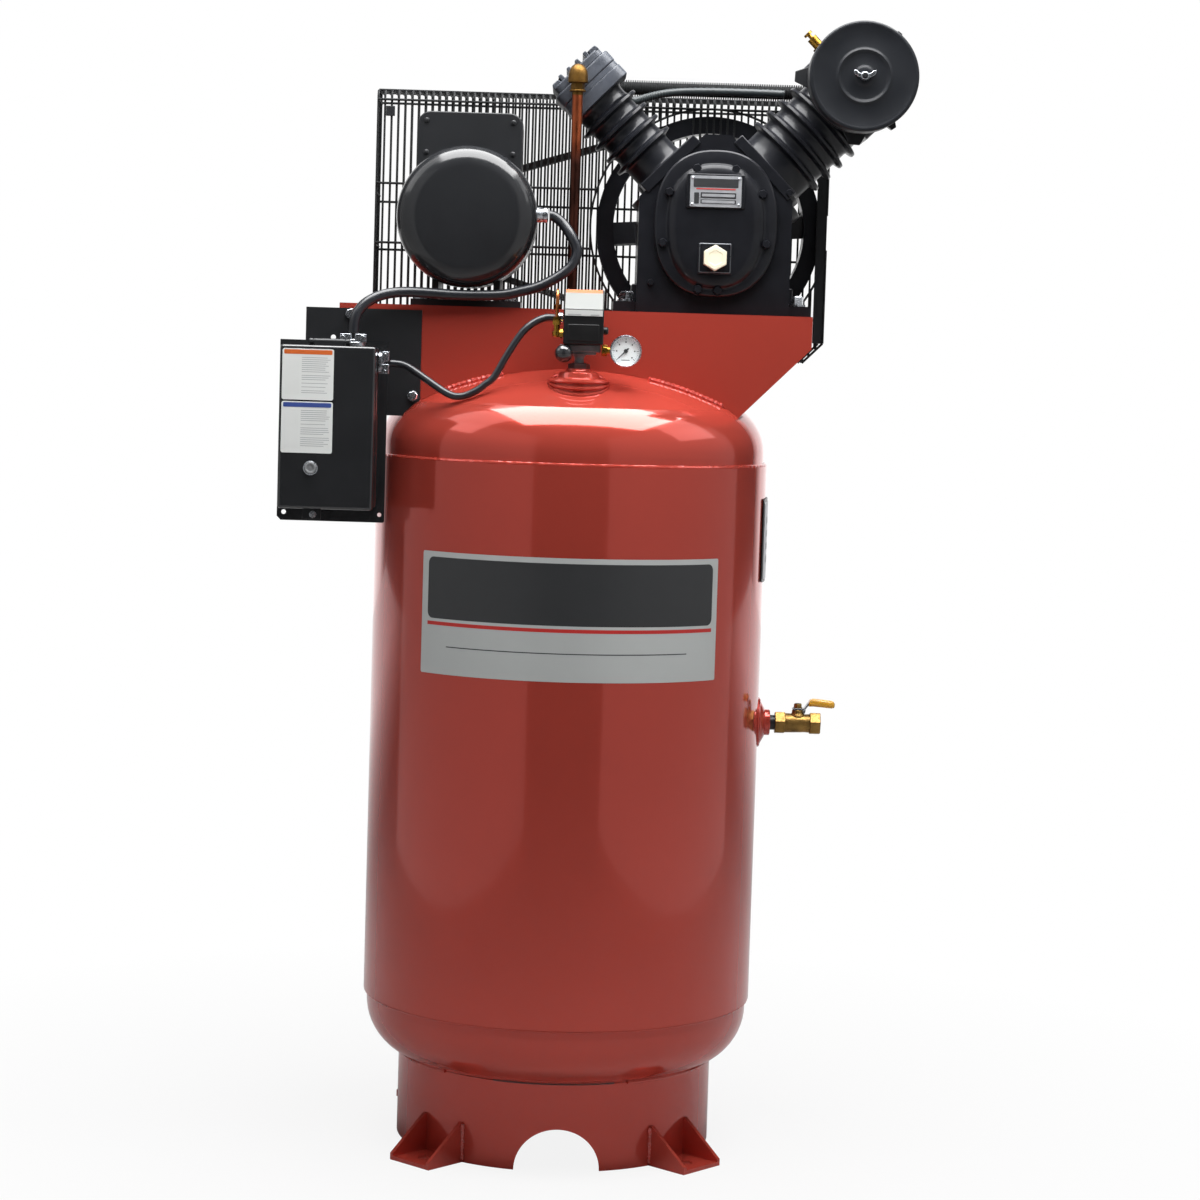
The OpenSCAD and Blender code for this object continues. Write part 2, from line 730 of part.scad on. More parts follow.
// Discharge: elbow on the small head, upright copper tube, check valve on the top head
elbow_rise = 211;
elbow_z = crank_z + elbow_rise;
tube_seat = 12;
check_base_z = dome_z(sqrt(tube_x * tube_x + tube_y * tube_y));
check_h = 48;
module discharge_elbow() {
    face = -rod_pitch / 2 - small_hy - seat;
    color(brass) translate([tube_x, tube_y, elbow_z]) difference() {
        union() {
            bar_y(11, face - tube_y);
            sphere(r = 15);
            translate([0, 0, -36]) hex_z(26, 14);
            translate([0, 0, -24]) cylinder(r = 12.5, h = 24);
        }
        translate([0, 0, -40]) cylinder(r = tube_r + seat, h = 40 - tube_seat);
    }
}
module discharge_tube() {
    foot_z = check_base_z + check_h - tube_seat;
    color(copper) translate([tube_x, tube_y, foot_z])
        cylinder(r = tube_r, h = elbow_z - tube_seat - seat - foot_z);
}
module check_valve() {
    color(brass) difference() {
        translate([tube_x, tube_y, check_base_z]) union() {
            translate([0, 0, -18]) cylinder(r = coupling_bore_r - fit, h = 20);
            translate([0, 0, -10]) hex_z(30, 42);
            cylinder(r = 14, h = check_h);
        }
        difference() {
            on_top_head() head_body(seat);
            translate([tube_x, tube_y, 0]) cylinder(r = coupling_bore_r - seat, h = tank_top);
        }
        translate([tube_x, tube_y, check_base_z + check_h - tube_seat - seat])
            cylinder(r = tube_r + seat, h = tube_seat * 2);
    }
}

// Wheels on the shafts: rims with two V grooves, and the belts that run in them
belt_side = 19;
belt_sink = 1;
groove_gap = 0.5;
function belt_half(depth) = belt_w / 2 - depth * tan(belt_side);
module rim_section(r_out, r_in) {
    lift = 3;
    floor_d = belt_d + groove_gap;
    difference() {
        translate([r_in, -rim_w / 2]) square([r_out - r_in, rim_w]);
        for (z = [-belt_pitch / 2, belt_pitch / 2]) translate([r_out - belt_sink, z]) polygon([
            [lift, -belt_half(-lift) - groove_gap], [lift, belt_half(-lift) + groove_gap],
            [-floor_d, belt_half(floor_d) + groove_gap], [-floor_d, -belt_half(floor_d) - groove_gap]
        ]);
    }
}
module wheel_y() { translate([0, rim_y + rim_w / 2, 0]) rotate([90, 0, 0]) children(); }
spokes = 6;
spoke_turn = 4;
module flywheel() {
    rim_in = flywheel_r - rim_depth;
    hub_len = rim_w - 6;
    spoke_w = 36;
    spoke_t = 12;
    spoke_lap = 8;
    blade_tilt = 14;
    color(cast_black) pump_frame() wheel_y() difference() {
        union() {
            rotate_extrude() rim_section(flywheel_r, rim_in);
            translate([0, 0, -hub_len / 2]) cylinder(r = hub_r, h = hub_len);
            for (i = [0 : spokes - 1])
                rotate([0, 0, spoke_turn + i * 360 / spokes]) rotate([blade_tilt, 0, 0])
                    translate([hub_r - spoke_lap, -spoke_w / 2, -spoke_t / 2])
                        cube([rim_in - hub_r + 2 * spoke_lap, spoke_w, spoke_t]);
        }
        translate([0, 0, -rim_w]) cylinder(r = journal_r + seat, h = 2 * rim_w);
    }
}
module motor_pulley() {
    web = 14;
    color(cast_black) motor_frame_at() wheel_y() difference() {
        union() {
            rotate_extrude() rim_section(pulley_r, pulley_r - 2 * belt_d - 4);
            translate([0, 0, -web / 2]) cylinder(r = pulley_r - 2 * belt_d, h = web);
            translate([0, 0, -rim_w / 2 + 4]) cylinder(r = 26, h = rim_w - 8);
        }
        translate([0, 0, -rim_w]) cylinder(r = shaft_r + seat, h = 2 * rim_w);
    }
}
// Belt loop in the wheels' plane: an arc on each wheel, joined by two straight runs
belt_big = flywheel_r - belt_sink;
belt_small = pulley_r - belt_sink;
wheel_dx = -motor_x - crank_x;
wheel_dz = motor_z - crank_z;
span_turn = atan2(wheel_dz, wheel_dx);
wrap = acos((belt_big - belt_small) / norm([wheel_dx, wheel_dz]));
belt_steps = 36;
belt_corners = [
    [0, -belt_half(0)], [0, belt_half(0)],
    [-belt_d, belt_half(belt_d)], [-belt_d, -belt_half(belt_d)]
];
function belt_arc(x, y, r, from, to) = [for (i = [0 : belt_steps])
    let (turn = from + i * (to - from) / belt_steps)
        for (c = belt_corners) [x + (r + c[0]) * cos(turn), y + (r + c[0]) * sin(turn), c[1]]];
module belt_loop() {
    corners = len(belt_corners);
    points = concat(
        belt_arc(0, 0, belt_big, span_turn + wrap, span_turn - wrap + 360),
        belt_arc(wheel_dx, wheel_dz, belt_small, span_turn - wrap, span_turn + wrap)
    );
    sides = [for (i = [0 : corners : len(points) - 1], k = [0 : corners - 1])
        let (a = i + k, b = i + (k + 1) % corners)
        let (c = (b + corners) % len(points), d = (a + corners) % len(points))
            each [[a, b, d], [b, c, d]]];
    polyhedron(points = points, faces = sides);
}
module drive_belts() {
    color([0.08, 0.08, 0.08]) pump_frame() wheel_y()
        for (z = [-belt_pitch / 2, belt_pitch / 2]) translate([0, 0, z]) belt_loop();
}

// Motor: dished front bell, tube frame on a foot, rear bell, stator and rotor
module motor_frame_at() { translate([-motor_x, 0, motor_z]) children(); }
bell_len = 38;
rear_bell_len = 24;
frame_wall = 6;
motor_bearing_r = 31;
motor_bearing_w = 16;
motor_bearing_front = motor_front + 26;
motor_bearing_back = motor_back - 20;
core_front = motor_front + 80;
core_len = motor_len - 150;
gap_r = 58;
motor_foot_hx = 84;
motor_foot_front = motor_front + 62;
motor_foot_len = motor_len - 110;
motor_foot_t = 10;
motor_bolt_dx = 66;
motor_bolt_dy = motor_foot_len / 2 - 18;
module at_motor_bolts() {
    mid = motor_foot_front + motor_foot_len / 2;
    for (sx = [-1, 1], sy = [-1, 1])
        translate([-motor_x + sx * motor_bolt_dx, mid + sy * motor_bolt_dy, plate_z]) children();
}
module motor_front_bell() {
    edge = 24;
    wall = 5;
    hub = motor_bearing_r + 7;
    arc = [for (a = [0 : 15 : 90]) [bell_r - edge + edge * sin(a), edge - edge * cos(a)]];
    color(black_paint) motor_frame_at() translate([0, motor_front, 0]) rotate([-90, 0, 0]) difference() {
        union() {
            difference() {
                rotate_extrude() polygon(concat([[0, 0]], arc, [[bell_r, bell_len], [0, bell_len]]));
                translate([0, 0, edge]) cylinder(r = bell_r - wall, h = bell_len);
                translate([0, 0, wall]) cylinder(r = bell_r - edge, h = bell_len);
            }
            cylinder(r = hub, h = bell_len + 4);
        }
        translate([0, 0, motor_bearing_front - motor_front])
            cylinder(r = motor_bearing_r + run, h = bell_len);
    }
}
module motor_frame() {
    front = motor_front + bell_len + seat;
    len = motor_back - rear_bell_len - seat - front;
    web = 10;
    color(black_paint) difference() {
        motor_frame_at() difference() {
            union() {
                translate([0, front, 0]) bar_y(motor_r, len);
                translate([-motor_foot_hx, motor_foot_front, -motor_h + seat])
                    cube([2 * motor_foot_hx, motor_foot_len, motor_foot_t]);
                for (x = [-motor_foot_hx / 2 - web, motor_foot_hx / 2])
                    translate([x, motor_foot_front, -motor_h + seat])
                        cube([web, motor_foot_len, motor_h / 2]);
            }
            translate([0, front - over, 0]) bar_y(motor_r - frame_wall, len + 2 * over);
        }
        at_motor_bolts() translate([0, 0, -over]) cylinder(r = pump_bolt_r - 1, h = motor_foot_t + 2 * over);
    }
}
module motor_rear_bell() {
    color(black_paint) motor_frame_at() translate([0, motor_back - rear_bell_len, 0])
        ring_y(motor_r - 3, motor_bearing_r + run, rear_bell_len);
}
module motor_stator() {
    turns = 22;
    color(copper) motor_frame_at() difference() {
        union() {
            translate([0, core_front, 0]) bar_y(motor_r - frame_wall - seat, core_len);
            translate([0, core_front - turns, 0]) bar_y(motor_r - 3 * frame_wall, core_len + 2 * turns);
        }
        translate([0, core_front - turns - over, 0]) bar_y(gap_r + 1, core_len + 2 * turns + 2 * over);
    }
}
module motor_rotor() {
    start = motor_bearing_front + 1;
    color(steel) motor_frame_at() {
        translate([0, core_front, 0]) bar_y(gap_r, core_len);
        translate([0, start, 0]) bar_y(shaft_r, rim_back - start);
    }
}
// Conduit box on the motor's crown, with rounded upper corners
conduit_w = 160;
conduit_top = 166;
module conduit_box() {
    corner = 20;
    front = motor_front + bell_len + 12;
    len = 110;
    w = conduit_w / 2;
    color(black_paint) motor_frame_at() difference() {
        translate([0, front, 0]) plate_y(len) union() {
            translate([-w, 0]) square([2 * w, conduit_top - corner]);
            translate([corner - w, 0]) square([2 * w - 2 * corner, conduit_top]);
            for (side = [-1, 1]) translate([side * (w - corner), conduit_top - corner]) circle(corner);
        }
        translate([0, front - over, 0]) bar_y(motor_r + seat, len + 2 * over);
        translate([-conduit_w, front - over, -conduit_w])
            cube([2 * conduit_w, len + 2 * over, conduit_w + 30]);
    }
}

// Wire guard: panels of square wire, cut round the wheels on the pump side
guard_z0 = plate_z + guard_drop;
guard_z1 = plate_z + guard_top;
guard_y1 = guard_y0 + guard_depth;
guard_rows = [0, 88, 196, 312, guard_top - guard_drop - wire_d];
guard_corner = 32;
module wire_grid() {
    len = guard_x1 - guard_x0;
    count = floor((len - wire_d) / wire_pitch);
    step = (len - wire_d) / count;
    difference() {
        union() {
            for (i = [0 : count])
                translate([guard_x0 + i * step, guard_z0]) square([wire_d, guard_z1 - guard_z0]);
            for (z = guard_rows) translate([guard_x0, guard_z0 + z]) square([len, wire_d]);
        }
        for (x = [guard_x0, guard_x1]) translate([x, guard_z0]) rotate(45)
            square(guard_corner * sqrt(2), center = true);
    }
}
module guard_front() {
    fly_gap = flywheel_r + 10;
    pulley_gap = pulley_r + 12;
    lug_z = plate_z - saddle_end_h + 12;
    lug = [30, 24];
    lug_left = 60;
    lug_right = 90;
    post_w = 18;
    color(black_paint) {
        translate([0, guard_y0 - wire_d / 2, 0]) plate_y(wire_d) difference() {
            wire_grid();
            translate([crank_x, crank_z]) circle(fly_gap);
            translate([-motor_x, motor_z]) circle(pulley_gap);
        }
        for (x = [lug_left - saddle_hx, saddle_hx - lug_right]) translate([x, saddle_hy + seat, lug_z])
            cube([lug[0], guard_y0 - wire_d / 2 - saddle_hy - 2 * seat, lug[1]]);
        translate([guard_x1 - post_w, guard_y0 - wire_d / 2 - seat - 3, guard_z0 + guard_corner])
            cube([post_w, 3, guard_z1 - guard_z0 - guard_corner]);
    }
}
module guard_back() {
    side_count = floor(guard_depth / (2 * wire_pitch));
    top_count = floor((guard_x1 - guard_x0 - wire_d) / wire_pitch);
    inner = guard_depth - wire_d - 2 * seat;
    inner_y = guard_y0 + wire_d / 2 + seat;
    top_step = (guard_x1 - guard_x0 - wire_d) / top_count;
    color(black_paint) {
        translate([0, guard_y1 - wire_d / 2, 0]) plate_y(wire_d) wire_grid();
        translate([0, 0, guard_z1 - wire_d]) linear_extrude(wire_d) {
            for (i = [0 : top_count]) translate([guard_x0 + i * top_step, inner_y]) square([wire_d, inner]);
            translate([guard_x0, inner_y + inner / 2]) square([guard_x1 - guard_x0, wire_d]);
        }
        for (x = [guard_x0, guard_x1 - wire_d])
            translate([x, inner_y, 0]) rotate([90, 0, 90]) linear_extrude(wire_d) {
                for (i = [1 : side_count])
                    translate([i * inner / (side_count + 1), guard_z0 + guard_corner])
                        square([wire_d, guard_z1 - guard_z0 - guard_corner - wire_d - seat]);
                for (i = [1 : 3]) translate([0, guard_z0 + guard_rows[i]]) square([inner, wire_d]);
            }
    }
}

// Manifold on the top coupling, pressure switch, unloader and gauge
manifold_z = 42;
manifold_h = 16;
manifold_hx = 33;
manifold_hy = 15;
ball_end_r = 13;
switch_dx = 5;
switch_z = manifold_z + manifold_h;
switch_front = -30;
module switch_manifold() {
    color([0.42, 0.43, 0.45]) coupling_frame() {
        translate([0, 0, 8]) cylinder(r = coupling_bore_r - fit, h = manifold_z - 6);
        translate([0, 0, 24]) hex_z(30, 12);
        translate([-manifold_hx, -manifold_hy, manifold_z])
            cube([2 * manifold_hx, 2 * manifold_hy, manifold_h]);
        translate([-manifold_hx + 4, -manifold_hy - 8, switch_z - ball_end_r]) sphere(r = ball_end_r);
    }
}
module pressure_switch() {
    side = switch_h - 50;
    color([0.09, 0.09, 0.1]) coupling_frame() translate([switch_dx - switch_hx, 0, switch_z + seat])
        rotate([90, 0, 90]) linear_extrude(2 * switch_hx) polygon([
            [switch_front, 0], [-switch_front, 0], [-switch_front, switch_h],
            [10, switch_h], [switch_front, side]
        ]);
}
// Unloader on the switch's left side, with a small tube back to the saddle
unload_r = 2.5;
unload_y = -14;
unload_back = coupling_y + tube_y;
unload_up = 68;
module unloader() {
    left = switch_dx - switch_hx - seat;
    x = left - 10;
    bend = 10;
    foot = plate_z + seat - coupling_base_z - switch_z;
    color(brass) coupling_frame() translate([0, 0, switch_z]) {
        translate([x, unload_y, 12]) bar_x(5, 10);
        translate([x, unload_y, 6]) hex_z(12, 12);
        translate([x, unload_y, 18]) cylinder(r = 4, h = 12);
        translate([x, unload_y, 20]) cylinder(r = unload_r, h = unload_up - 20);
        translate([x, unload_y, unload_up]) sphere(r = unload_r);
        translate([x, unload_y, unload_up]) bar_y(unload_r, unload_back - unload_y + bend);
        translate([x, unload_back + bend, unload_up]) sphere(r = unload_r);
        translate([x, unload_back + bend, foot]) cylinder(r = unload_r, h = unload_up - foot);
        translate([x, unload_back + bend, foot]) cylinder(r = 6, h = 8);
    }
}
gauge_x = manifold_hx + 12 + gauge_r;
gauge_y = -12;
gauge_z = manifold_z + manifold_h / 2;
gauge_depth = 26;
gauge_wall = 2;
dial_depth = 9;
pivot_r = 1.5;
module gauge_frame() { coupling_frame() translate([gauge_x, gauge_y - gauge_depth / 2, gauge_z]) children(); }
module pressure_gauge() {
    stem_x = manifold_hx + seat - gauge_x;
    dial_t = 1;
    color(steel) {
        gauge_frame() difference() {
            union() {
                bar_y(gauge_r, gauge_depth);
                translate([stem_x, gauge_depth / 2, 0]) bar_x(6, -stem_x - gauge_r / 2);
            }
            translate([0, -over, 0]) bar_y(gauge_r - gauge_wall, dial_depth + over);
        }
        gauge_frame() translate([0, dial_depth - dial_t - seat, 0])
            ring_y(gauge_r - gauge_wall - seat, pivot_r + fit, dial_t);
    }
}
module gauge_lens() {
    color([0.8, 0.88, 0.9, 0.4]) gauge_frame() translate([0, 0.5, 0]) bar_y(gauge_r - gauge_wall - seat, 1.5);
}
module gauge_needle() {
    needle_y = dial_depth - 4;
    tip = gauge_r - gauge_wall - 5;
    color("black") gauge_frame() translate([0, needle_y, 0]) {
        bar_y(3, 1.2);
        bar_y(pivot_r, 3.8);
        rotate([0, -135, 0]) plate_y(0.8) polygon([[-1.2, -6], [1.2, -6], [0.4, tip], [-0.4, tip]]);
    }
}

// Starter box: bracket on the saddle apron, deep pan, hinged front cover
starter_x = -366;
starter_drop = 66;
starter_top = plate_z - starter_drop;
starter_z0 = starter_top - starter_h;
bracket_t = 3;
bracket_x0 = -410;
bracket_w = 176;
bracket_h = 161;
bracket_top = plate_z - 8;
pan_y = -saddle_hy - bracket_t - 2 * seat;
lid_d = 30;
pan_front = pan_y - starter_d + lid_d;
lid_front = pan_front - seat - lid_d;
pivot_z = starter_top + 6;
hinge_pin_r = 2.5;
hinge_r = 5;
hinge_hx = 30;
module starter_bracket() {
    color(black_paint) difference() {
        translate([bracket_x0, pan_y + seat, bracket_top - bracket_h])
            cube([bracket_w, bracket_t, bracket_h]);
        on_top_head() head_body(seat);
        translate([bracket_x0 + 42, pan_y - over, bracket_top - 45]) bar_y(4, 3 * bracket_t);
    }
}
module starter_pan() {
    lip_x = 11;
    lip_low = 24;
    lip_up = 8;
    lug_w = 6;
    depth = pan_y - pan_front;
    color(black_paint) translate([starter_x, 0, 0]) {
        difference() {
            translate([-starter_w / 2, pan_front, starter_z0]) cube([starter_w, depth, starter_h]);
            translate([-starter_w / 2 + starter_t, pan_front - over, starter_z0 + starter_t])
                cube([starter_w - 2 * starter_t, depth - starter_t + over, starter_h - 2 * starter_t]);
        }
        translate([-starter_w / 2 - lip_x, pan_y - starter_t, starter_z0 - lip_low])
            cube([starter_w + 2 * lip_x, starter_t, starter_h + lip_low + lip_up]);
        for (x = [-hinge_hx, hinge_hx - lug_w]) translate([x, pan_front, pivot_z]) {
            bar_x(hinge_r - 0.5, lug_w);
            translate([0, 0, starter_top - pivot_z - starter_t / 2])
                cube([lug_w, 2 * hinge_r - 1, pivot_z - starter_top + hinge_r]);
        }
        translate([-hinge_hx, pan_front, pivot_z]) bar_x(hinge_pin_r, 2 * hinge_hx);
    }
}
reset_x = starter_x - 22;
reset_drop = 248;
reset_z = plate_z - reset_drop;
reset_r = 9;
module starter_cover() {
    barrel_hx = hinge_hx - 7;
    tab = 8;
    color(black_paint) difference() {
        union() {
            translate([starter_x - starter_w / 2, lid_front, starter_z0]) difference() {
                cube([starter_w, lid_d, starter_h]);
                translate([starter_t, starter_t, starter_t])
                    cube([starter_w - 2 * starter_t, lid_d, starter_h - 2 * starter_t]);
            }
            translate([starter_x - barrel_hx, pan_front, pivot_z]) bar_x(hinge_r - 0.5, 2 * barrel_hx);
            translate([starter_x - barrel_hx, pan_front - seat - tab, starter_top - starter_t / 2])
                cube([2 * barrel_hx, tab - 1, pivot_z - starter_top + starter_t / 2]);
        }
        translate([starter_x - starter_w, pan_front, pivot_z]) bar_x(hinge_pin_r + run, 2 * starter_w);
        translate([reset_x, lid_front - over, reset_z]) bar_y(reset_r + run, starter_t + 2 * over);
    }
}
module reset_button() {
    color([0.62, 0.63, 0.65]) translate([reset_x, lid_front, reset_z]) {
        translate([0, -5, 0]) bar_y(reset_r, 5 + starter_t + 6);
        translate([0, starter_t + fit, 0]) bar_y(reset_r + 3, 4);
    }
}
module contactor() {
    size = [76, 58, 96];
    low = 70;
    face = [10, 8, 20];
    color([0.2, 0.2, 0.21])
        translate([starter_x - size[0] / 2, pan_y - starter_t - seat - size[1], starter_z0 + low]) {
            cube(size);
            translate([face[0], -face[1], face[2]])
                cube([size[0] - 2 * face[0], 2 * face[1], size[2] - 2 * face[2]]);
        }
}
// Cable connectors on the motor, the starter pan and the switch
lead_exit_x = -47;
lead_exit_y = -98;
lead_exit_z = plate_z + 142;
pan_lead_x = -334;
pan_lead_y = -166;
side_lead_drop = 89;
side_lead_z = plate_z - side_lead_drop;
gland_y = -178;
gland_z = plate_z - 14;
module cable_connectors() {
    pan_right = starter_x + starter_w / 2 + seat;
    switch_left = coupling_x + switch_dx - switch_hx - seat;
    color(steel) {
        difference() {
            translate([lead_exit_x - 30, lead_exit_y, lead_exit_z]) bar_x(motor_lead_r + 4, 30);
            motor_frame_at() translate([0, motor_front, 0]) bar_y(motor_r + seat, motor_len);
        }
        translate([pan_lead_x, pan_lead_y, starter_top + seat]) {
            hex_z(2 * motor_lead_r + 16, 8);
            cylinder(r = motor_lead_r + 4, h = 20);
        }
        translate([pan_right, pan_lead_y, side_lead_z]) {
            hex_x(2 * switch_lead_r + 16, 7);
            bar_x(switch_lead_r + 4, 17);
        }
        translate([switch_left - 13, gland_y, gland_z]) bar_x(switch_lead_r + 3, 13);
    }
}

// Leads: tubes swept along smooth curves through hand-chosen points
motor_lead_route = [
    [-45, -98, 1442], [-38, -98, 1441], [-25, -102, 1431], [-12, -110, 1413], [-2, -113, 1391],
    [-8, -117, 1369], [-27, -121, 1351], [-57, -126, 1334], [-87, -130, 1325], [-116, -132, 1319],
    [-177, -134, 1317], [-253, -140, 1319], [-290, -148, 1314], [-315, -156, 1302], [-328, -162, 1287],
    [-333, -165, 1272], [-334, -166, 1255.5]
];
switch_lead_route = [
    [-277, -166, 1211], [-262, -167, 1210], [-248, -171, 1205], [-221, -182, 1188], [-188, -196, 1168],
    [-168, -200, 1165], [-148, -200, 1173], [-133, -198, 1184], [-119, -196, 1197], [-101, -193, 1230],
    [-80, -188, 1263], [-62, -183, 1279], [-46, -179, 1286], [-32.5, -178, 1286.5]
];
lead_sides = 10;
function unit(v) = v / norm(v);
function curve_at(a, b, c, d, t) = 0.5 * (2 * b + (c - a) * t + (2 * a - 5 * b + 4 * c - d) * t * t
    + (3 * b - a - 3 * c + d) * t * t * t);
function smooth(p) = concat(
    [for (i = [0 : len(p) - 2], t = [0, 0.5])
        curve_at(p[max(0, i - 1)], p[i], p[i + 1], p[min(len(p) - 1, i + 2)], t)],
    [p[len(p) - 1]]
);
function heading(p, i) = unit(p[min(len(p) - 1, i + 1)] - p[max(0, i - 1)]);
module lead(route, r) {
    path = smooth(route);
    count = len(path);
    rings = [for (i = [0 : count - 1])
        let (t = heading(path, i), u = unit(cross(t, [0, 1, 0])), v = cross(t, u))
            for (k = [0 : lead_sides - 1])
                let (a = k * 360 / lead_sides) path[i] + r * (cos(a) * u + sin(a) * v)];
    sides = [for (i = [0 : count - 2], k = [0 : lead_sides - 1])
        let (a = i * lead_sides + k, b = i * lead_sides + (k + 1) % lead_sides)
            each [[a, b, a + lead_sides], [b, b + lead_sides, a + lead_sides]]];
    start_cap = [for (k = [1 : lead_sides - 2]) [0, k + 1, k]];
    last = (count - 1) * lead_sides;
    end_cap = [for (k = [1 : lead_sides - 2]) [last, last + k, last + k + 1]];
    polyhedron(points = rings, faces = concat(sides, start_cap, end_cap));
}
module motor_lead() { color([0.07, 0.07, 0.08]) lead(motor_lead_route, motor_lead_r); }
module switch_lead() { color([0.07, 0.07, 0.08]) lead(switch_lead_route, switch_lead_r); }

// Outlet: nipple, ball valve and lever on the tank's right side
nipple_r = outlet_bore_r - fit;
nipple_len = 42;
valve_x = tank_r + 27;
valve_len = 72;
valve_mid = valve_x + valve_len / 2;
thread_len = 16;
port_r = 8;
ball_r = 13;
stem_r = 5;
stem_top = 27;
module outlet_nipple() {
    color(black_paint) translate([tank_r - 4, 0, outlet_z]) difference() {
        bar_x(nipple_r, nipple_len);
        translate([-over, 0, 0]) bar_x(port_r, nipple_len + 2 * over);
    }
}
module ball_valve_body() {
    hex_len = 20;
    flats = valve_hex_r * sqrt(3);
    color(brass) translate([valve_x, 0, outlet_z]) difference() {
        union() {
            for (x = [0, valve_len - hex_len]) translate([x, 0, 0]) hex_x(flats, hex_len);
            translate([hex_len - 4, 0, 0]) bar_x(ball_r + 4, valve_len - 2 * hex_len + 8);
            translate([valve_len / 2, 0, 0]) cylinder(r = stem_r + 4, h = stem_top - 6);
        }
        translate([-over, 0, 0]) bar_x(nipple_r + seat, thread_len + over);
        translate([valve_len - thread_len, 0, 0]) bar_x(outlet_bore_r, thread_len + over);
        bar_x(port_r, valve_len);
        translate([valve_len / 2, 0, 0]) sphere(r = ball_r + run);
        translate([valve_len / 2, 0, 0]) cylinder(r = stem_r + run, h = stem_top);
    }
}
module valve_ball() {
    color(steel) translate([valve_mid, 0, outlet_z]) difference() {
        union() {
            sphere(r = ball_r);
            cylinder(r = stem_r, h = stem_top + 4);
        }
        translate([-2 * ball_r, 0, 0]) bar_x(port_r, 4 * ball_r);
    }
}
module valve_handle() {
    lever_t = 3;
    lever_w = 17;
    rise = 9;
    color([0.95, 0.75, 0.1]) translate([valve_mid, 0, outlet_z + stem_top - 5.5]) difference() {
        union() {
            cylinder(r = lever_w / 2, h = lever_t);
            translate([0, lever_w / 2, 0]) rotate([90, 0, 0]) linear_extrude(lever_w) polygon([
                [0, 0], [14, 0], [24, rise], [lever_len, rise],
                [lever_len, rise + lever_t], [23, rise + lever_t], [13, lever_t], [0, lever_t]
            ]);
        }
        translate([0, 0, -over]) cylinder(r = stem_r + run, h = 4 * lever_t);
    }
}
// Drain cock under the lower head
drain_top = lower_tangent_z - head_depth;
drain_r = 11;
drain_len = 36;
drain_pin_r = 4;
module drain_cock() {
    color(brass) translate([0, 0, drain_top]) difference() {
        union() {
            translate([0, 0, -drain_len]) cylinder(r = drain_r, h = drain_len - 2);
            translate([0, 0, -4]) cylinder(r = drain_bore_r - fit, h = 14);
        }
        translate([0, -2 * drain_r, -drain_len / 2]) bar_y(drain_pin_r + run, 4 * drain_r);
        translate([0, 0, -drain_len - over]) cylinder(r = drain_pin_r - 1, h = drain_len / 3);
    }
}
module drain_handle() {
    wing = 15;
    color(brass) translate([0, -drain_r - 8, drain_top - drain_len / 2]) {
        bar_y(drain_pin_r, 2 * drain_r + 10);
        translate([-wing, -2, -4]) cube([2 * wing, 6, 8]);
    }
}

// Bolts on the pump, motor, front cover and starter bracket
bolt_head = 9;
cover_bolt_places = [
    [-19, 93], [22, 93], [-72, 49], [72, 49], [-80, -28], [80, -28], [-16, -96], [14, -96]
];
bracket_bolt_places = [[-342, -16], [-245, -138]];
module fasteners() {
    color(steel) {
        at_pump_bolts() translate([0, 0, seat]) {
            cylinder(r = pump_bolt_r - fit, h = pump_foot_t + 2);
            translate([0, 0, pump_foot_t + seat]) cylinder(r = pump_bolt_r + 5, h = 3);
            translate([0, 0, pump_foot_t + 3]) hex_z(3 * pump_bolt_r, bolt_head);
        }
        at_motor_bolts() translate([0, 0, seat]) {
            cylinder(r = pump_bolt_r - 1 - fit, h = motor_foot_t + 2);
            translate([0, 0, motor_foot_t + seat]) hex_z(2.5 * pump_bolt_r, bolt_head);
        }
        pump_frame() for (p = cover_bolt_places)
            translate([p[0], cover_y - seat, p[1]]) rotate([90, 0, 0]) hex_z(12, bolt_head - 3);
        for (p = bracket_bolt_places)
            translate([p[0], pan_y, plate_z + p[1]]) rotate([90, 0, 0]) hex_z(13, 5);
    }
}

tank_shell();
tank_heads();
base_skirt();
mounting_feet();
tank_couplings();
saddle();
crankcase();
crankcase_cover();
oil_plug();
crankshaft();
bearings();
connecting_rods();
pistons();
small_cylinder();
large_cylinder();
valve_plates();
small_head();
large_head();
intercooler();
relief_valve();
relief_stem();
filter_housing();
filter_element();
filter_cover();
wing_nut();
discharge_elbow();
discharge_tube();
check_valve();
flywheel();
motor_pulley();
drive_belts();
motor_front_bell();
motor_frame();
motor_rear_bell();
motor_stator();
motor_rotor();
conduit_box();
guard_front();
guard_back();
switch_manifold();
pressure_switch();
unloader();
pressure_gauge();
gauge_lens();
gauge_needle();
starter_bracket();
starter_pan();
starter_cover();
contactor();
reset_button();
cable_connectors();
motor_lead();
switch_lead();
outlet_nipple();
ball_valve_body();
valve_ball();
valve_handle();
drain_cock();
drain_handle();
fasteners();
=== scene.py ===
"""Vertical tank compressor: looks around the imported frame, in metres, front towards -Y."""
import math
import random

import bmesh
import bpy
from mathutils import Matrix, Vector


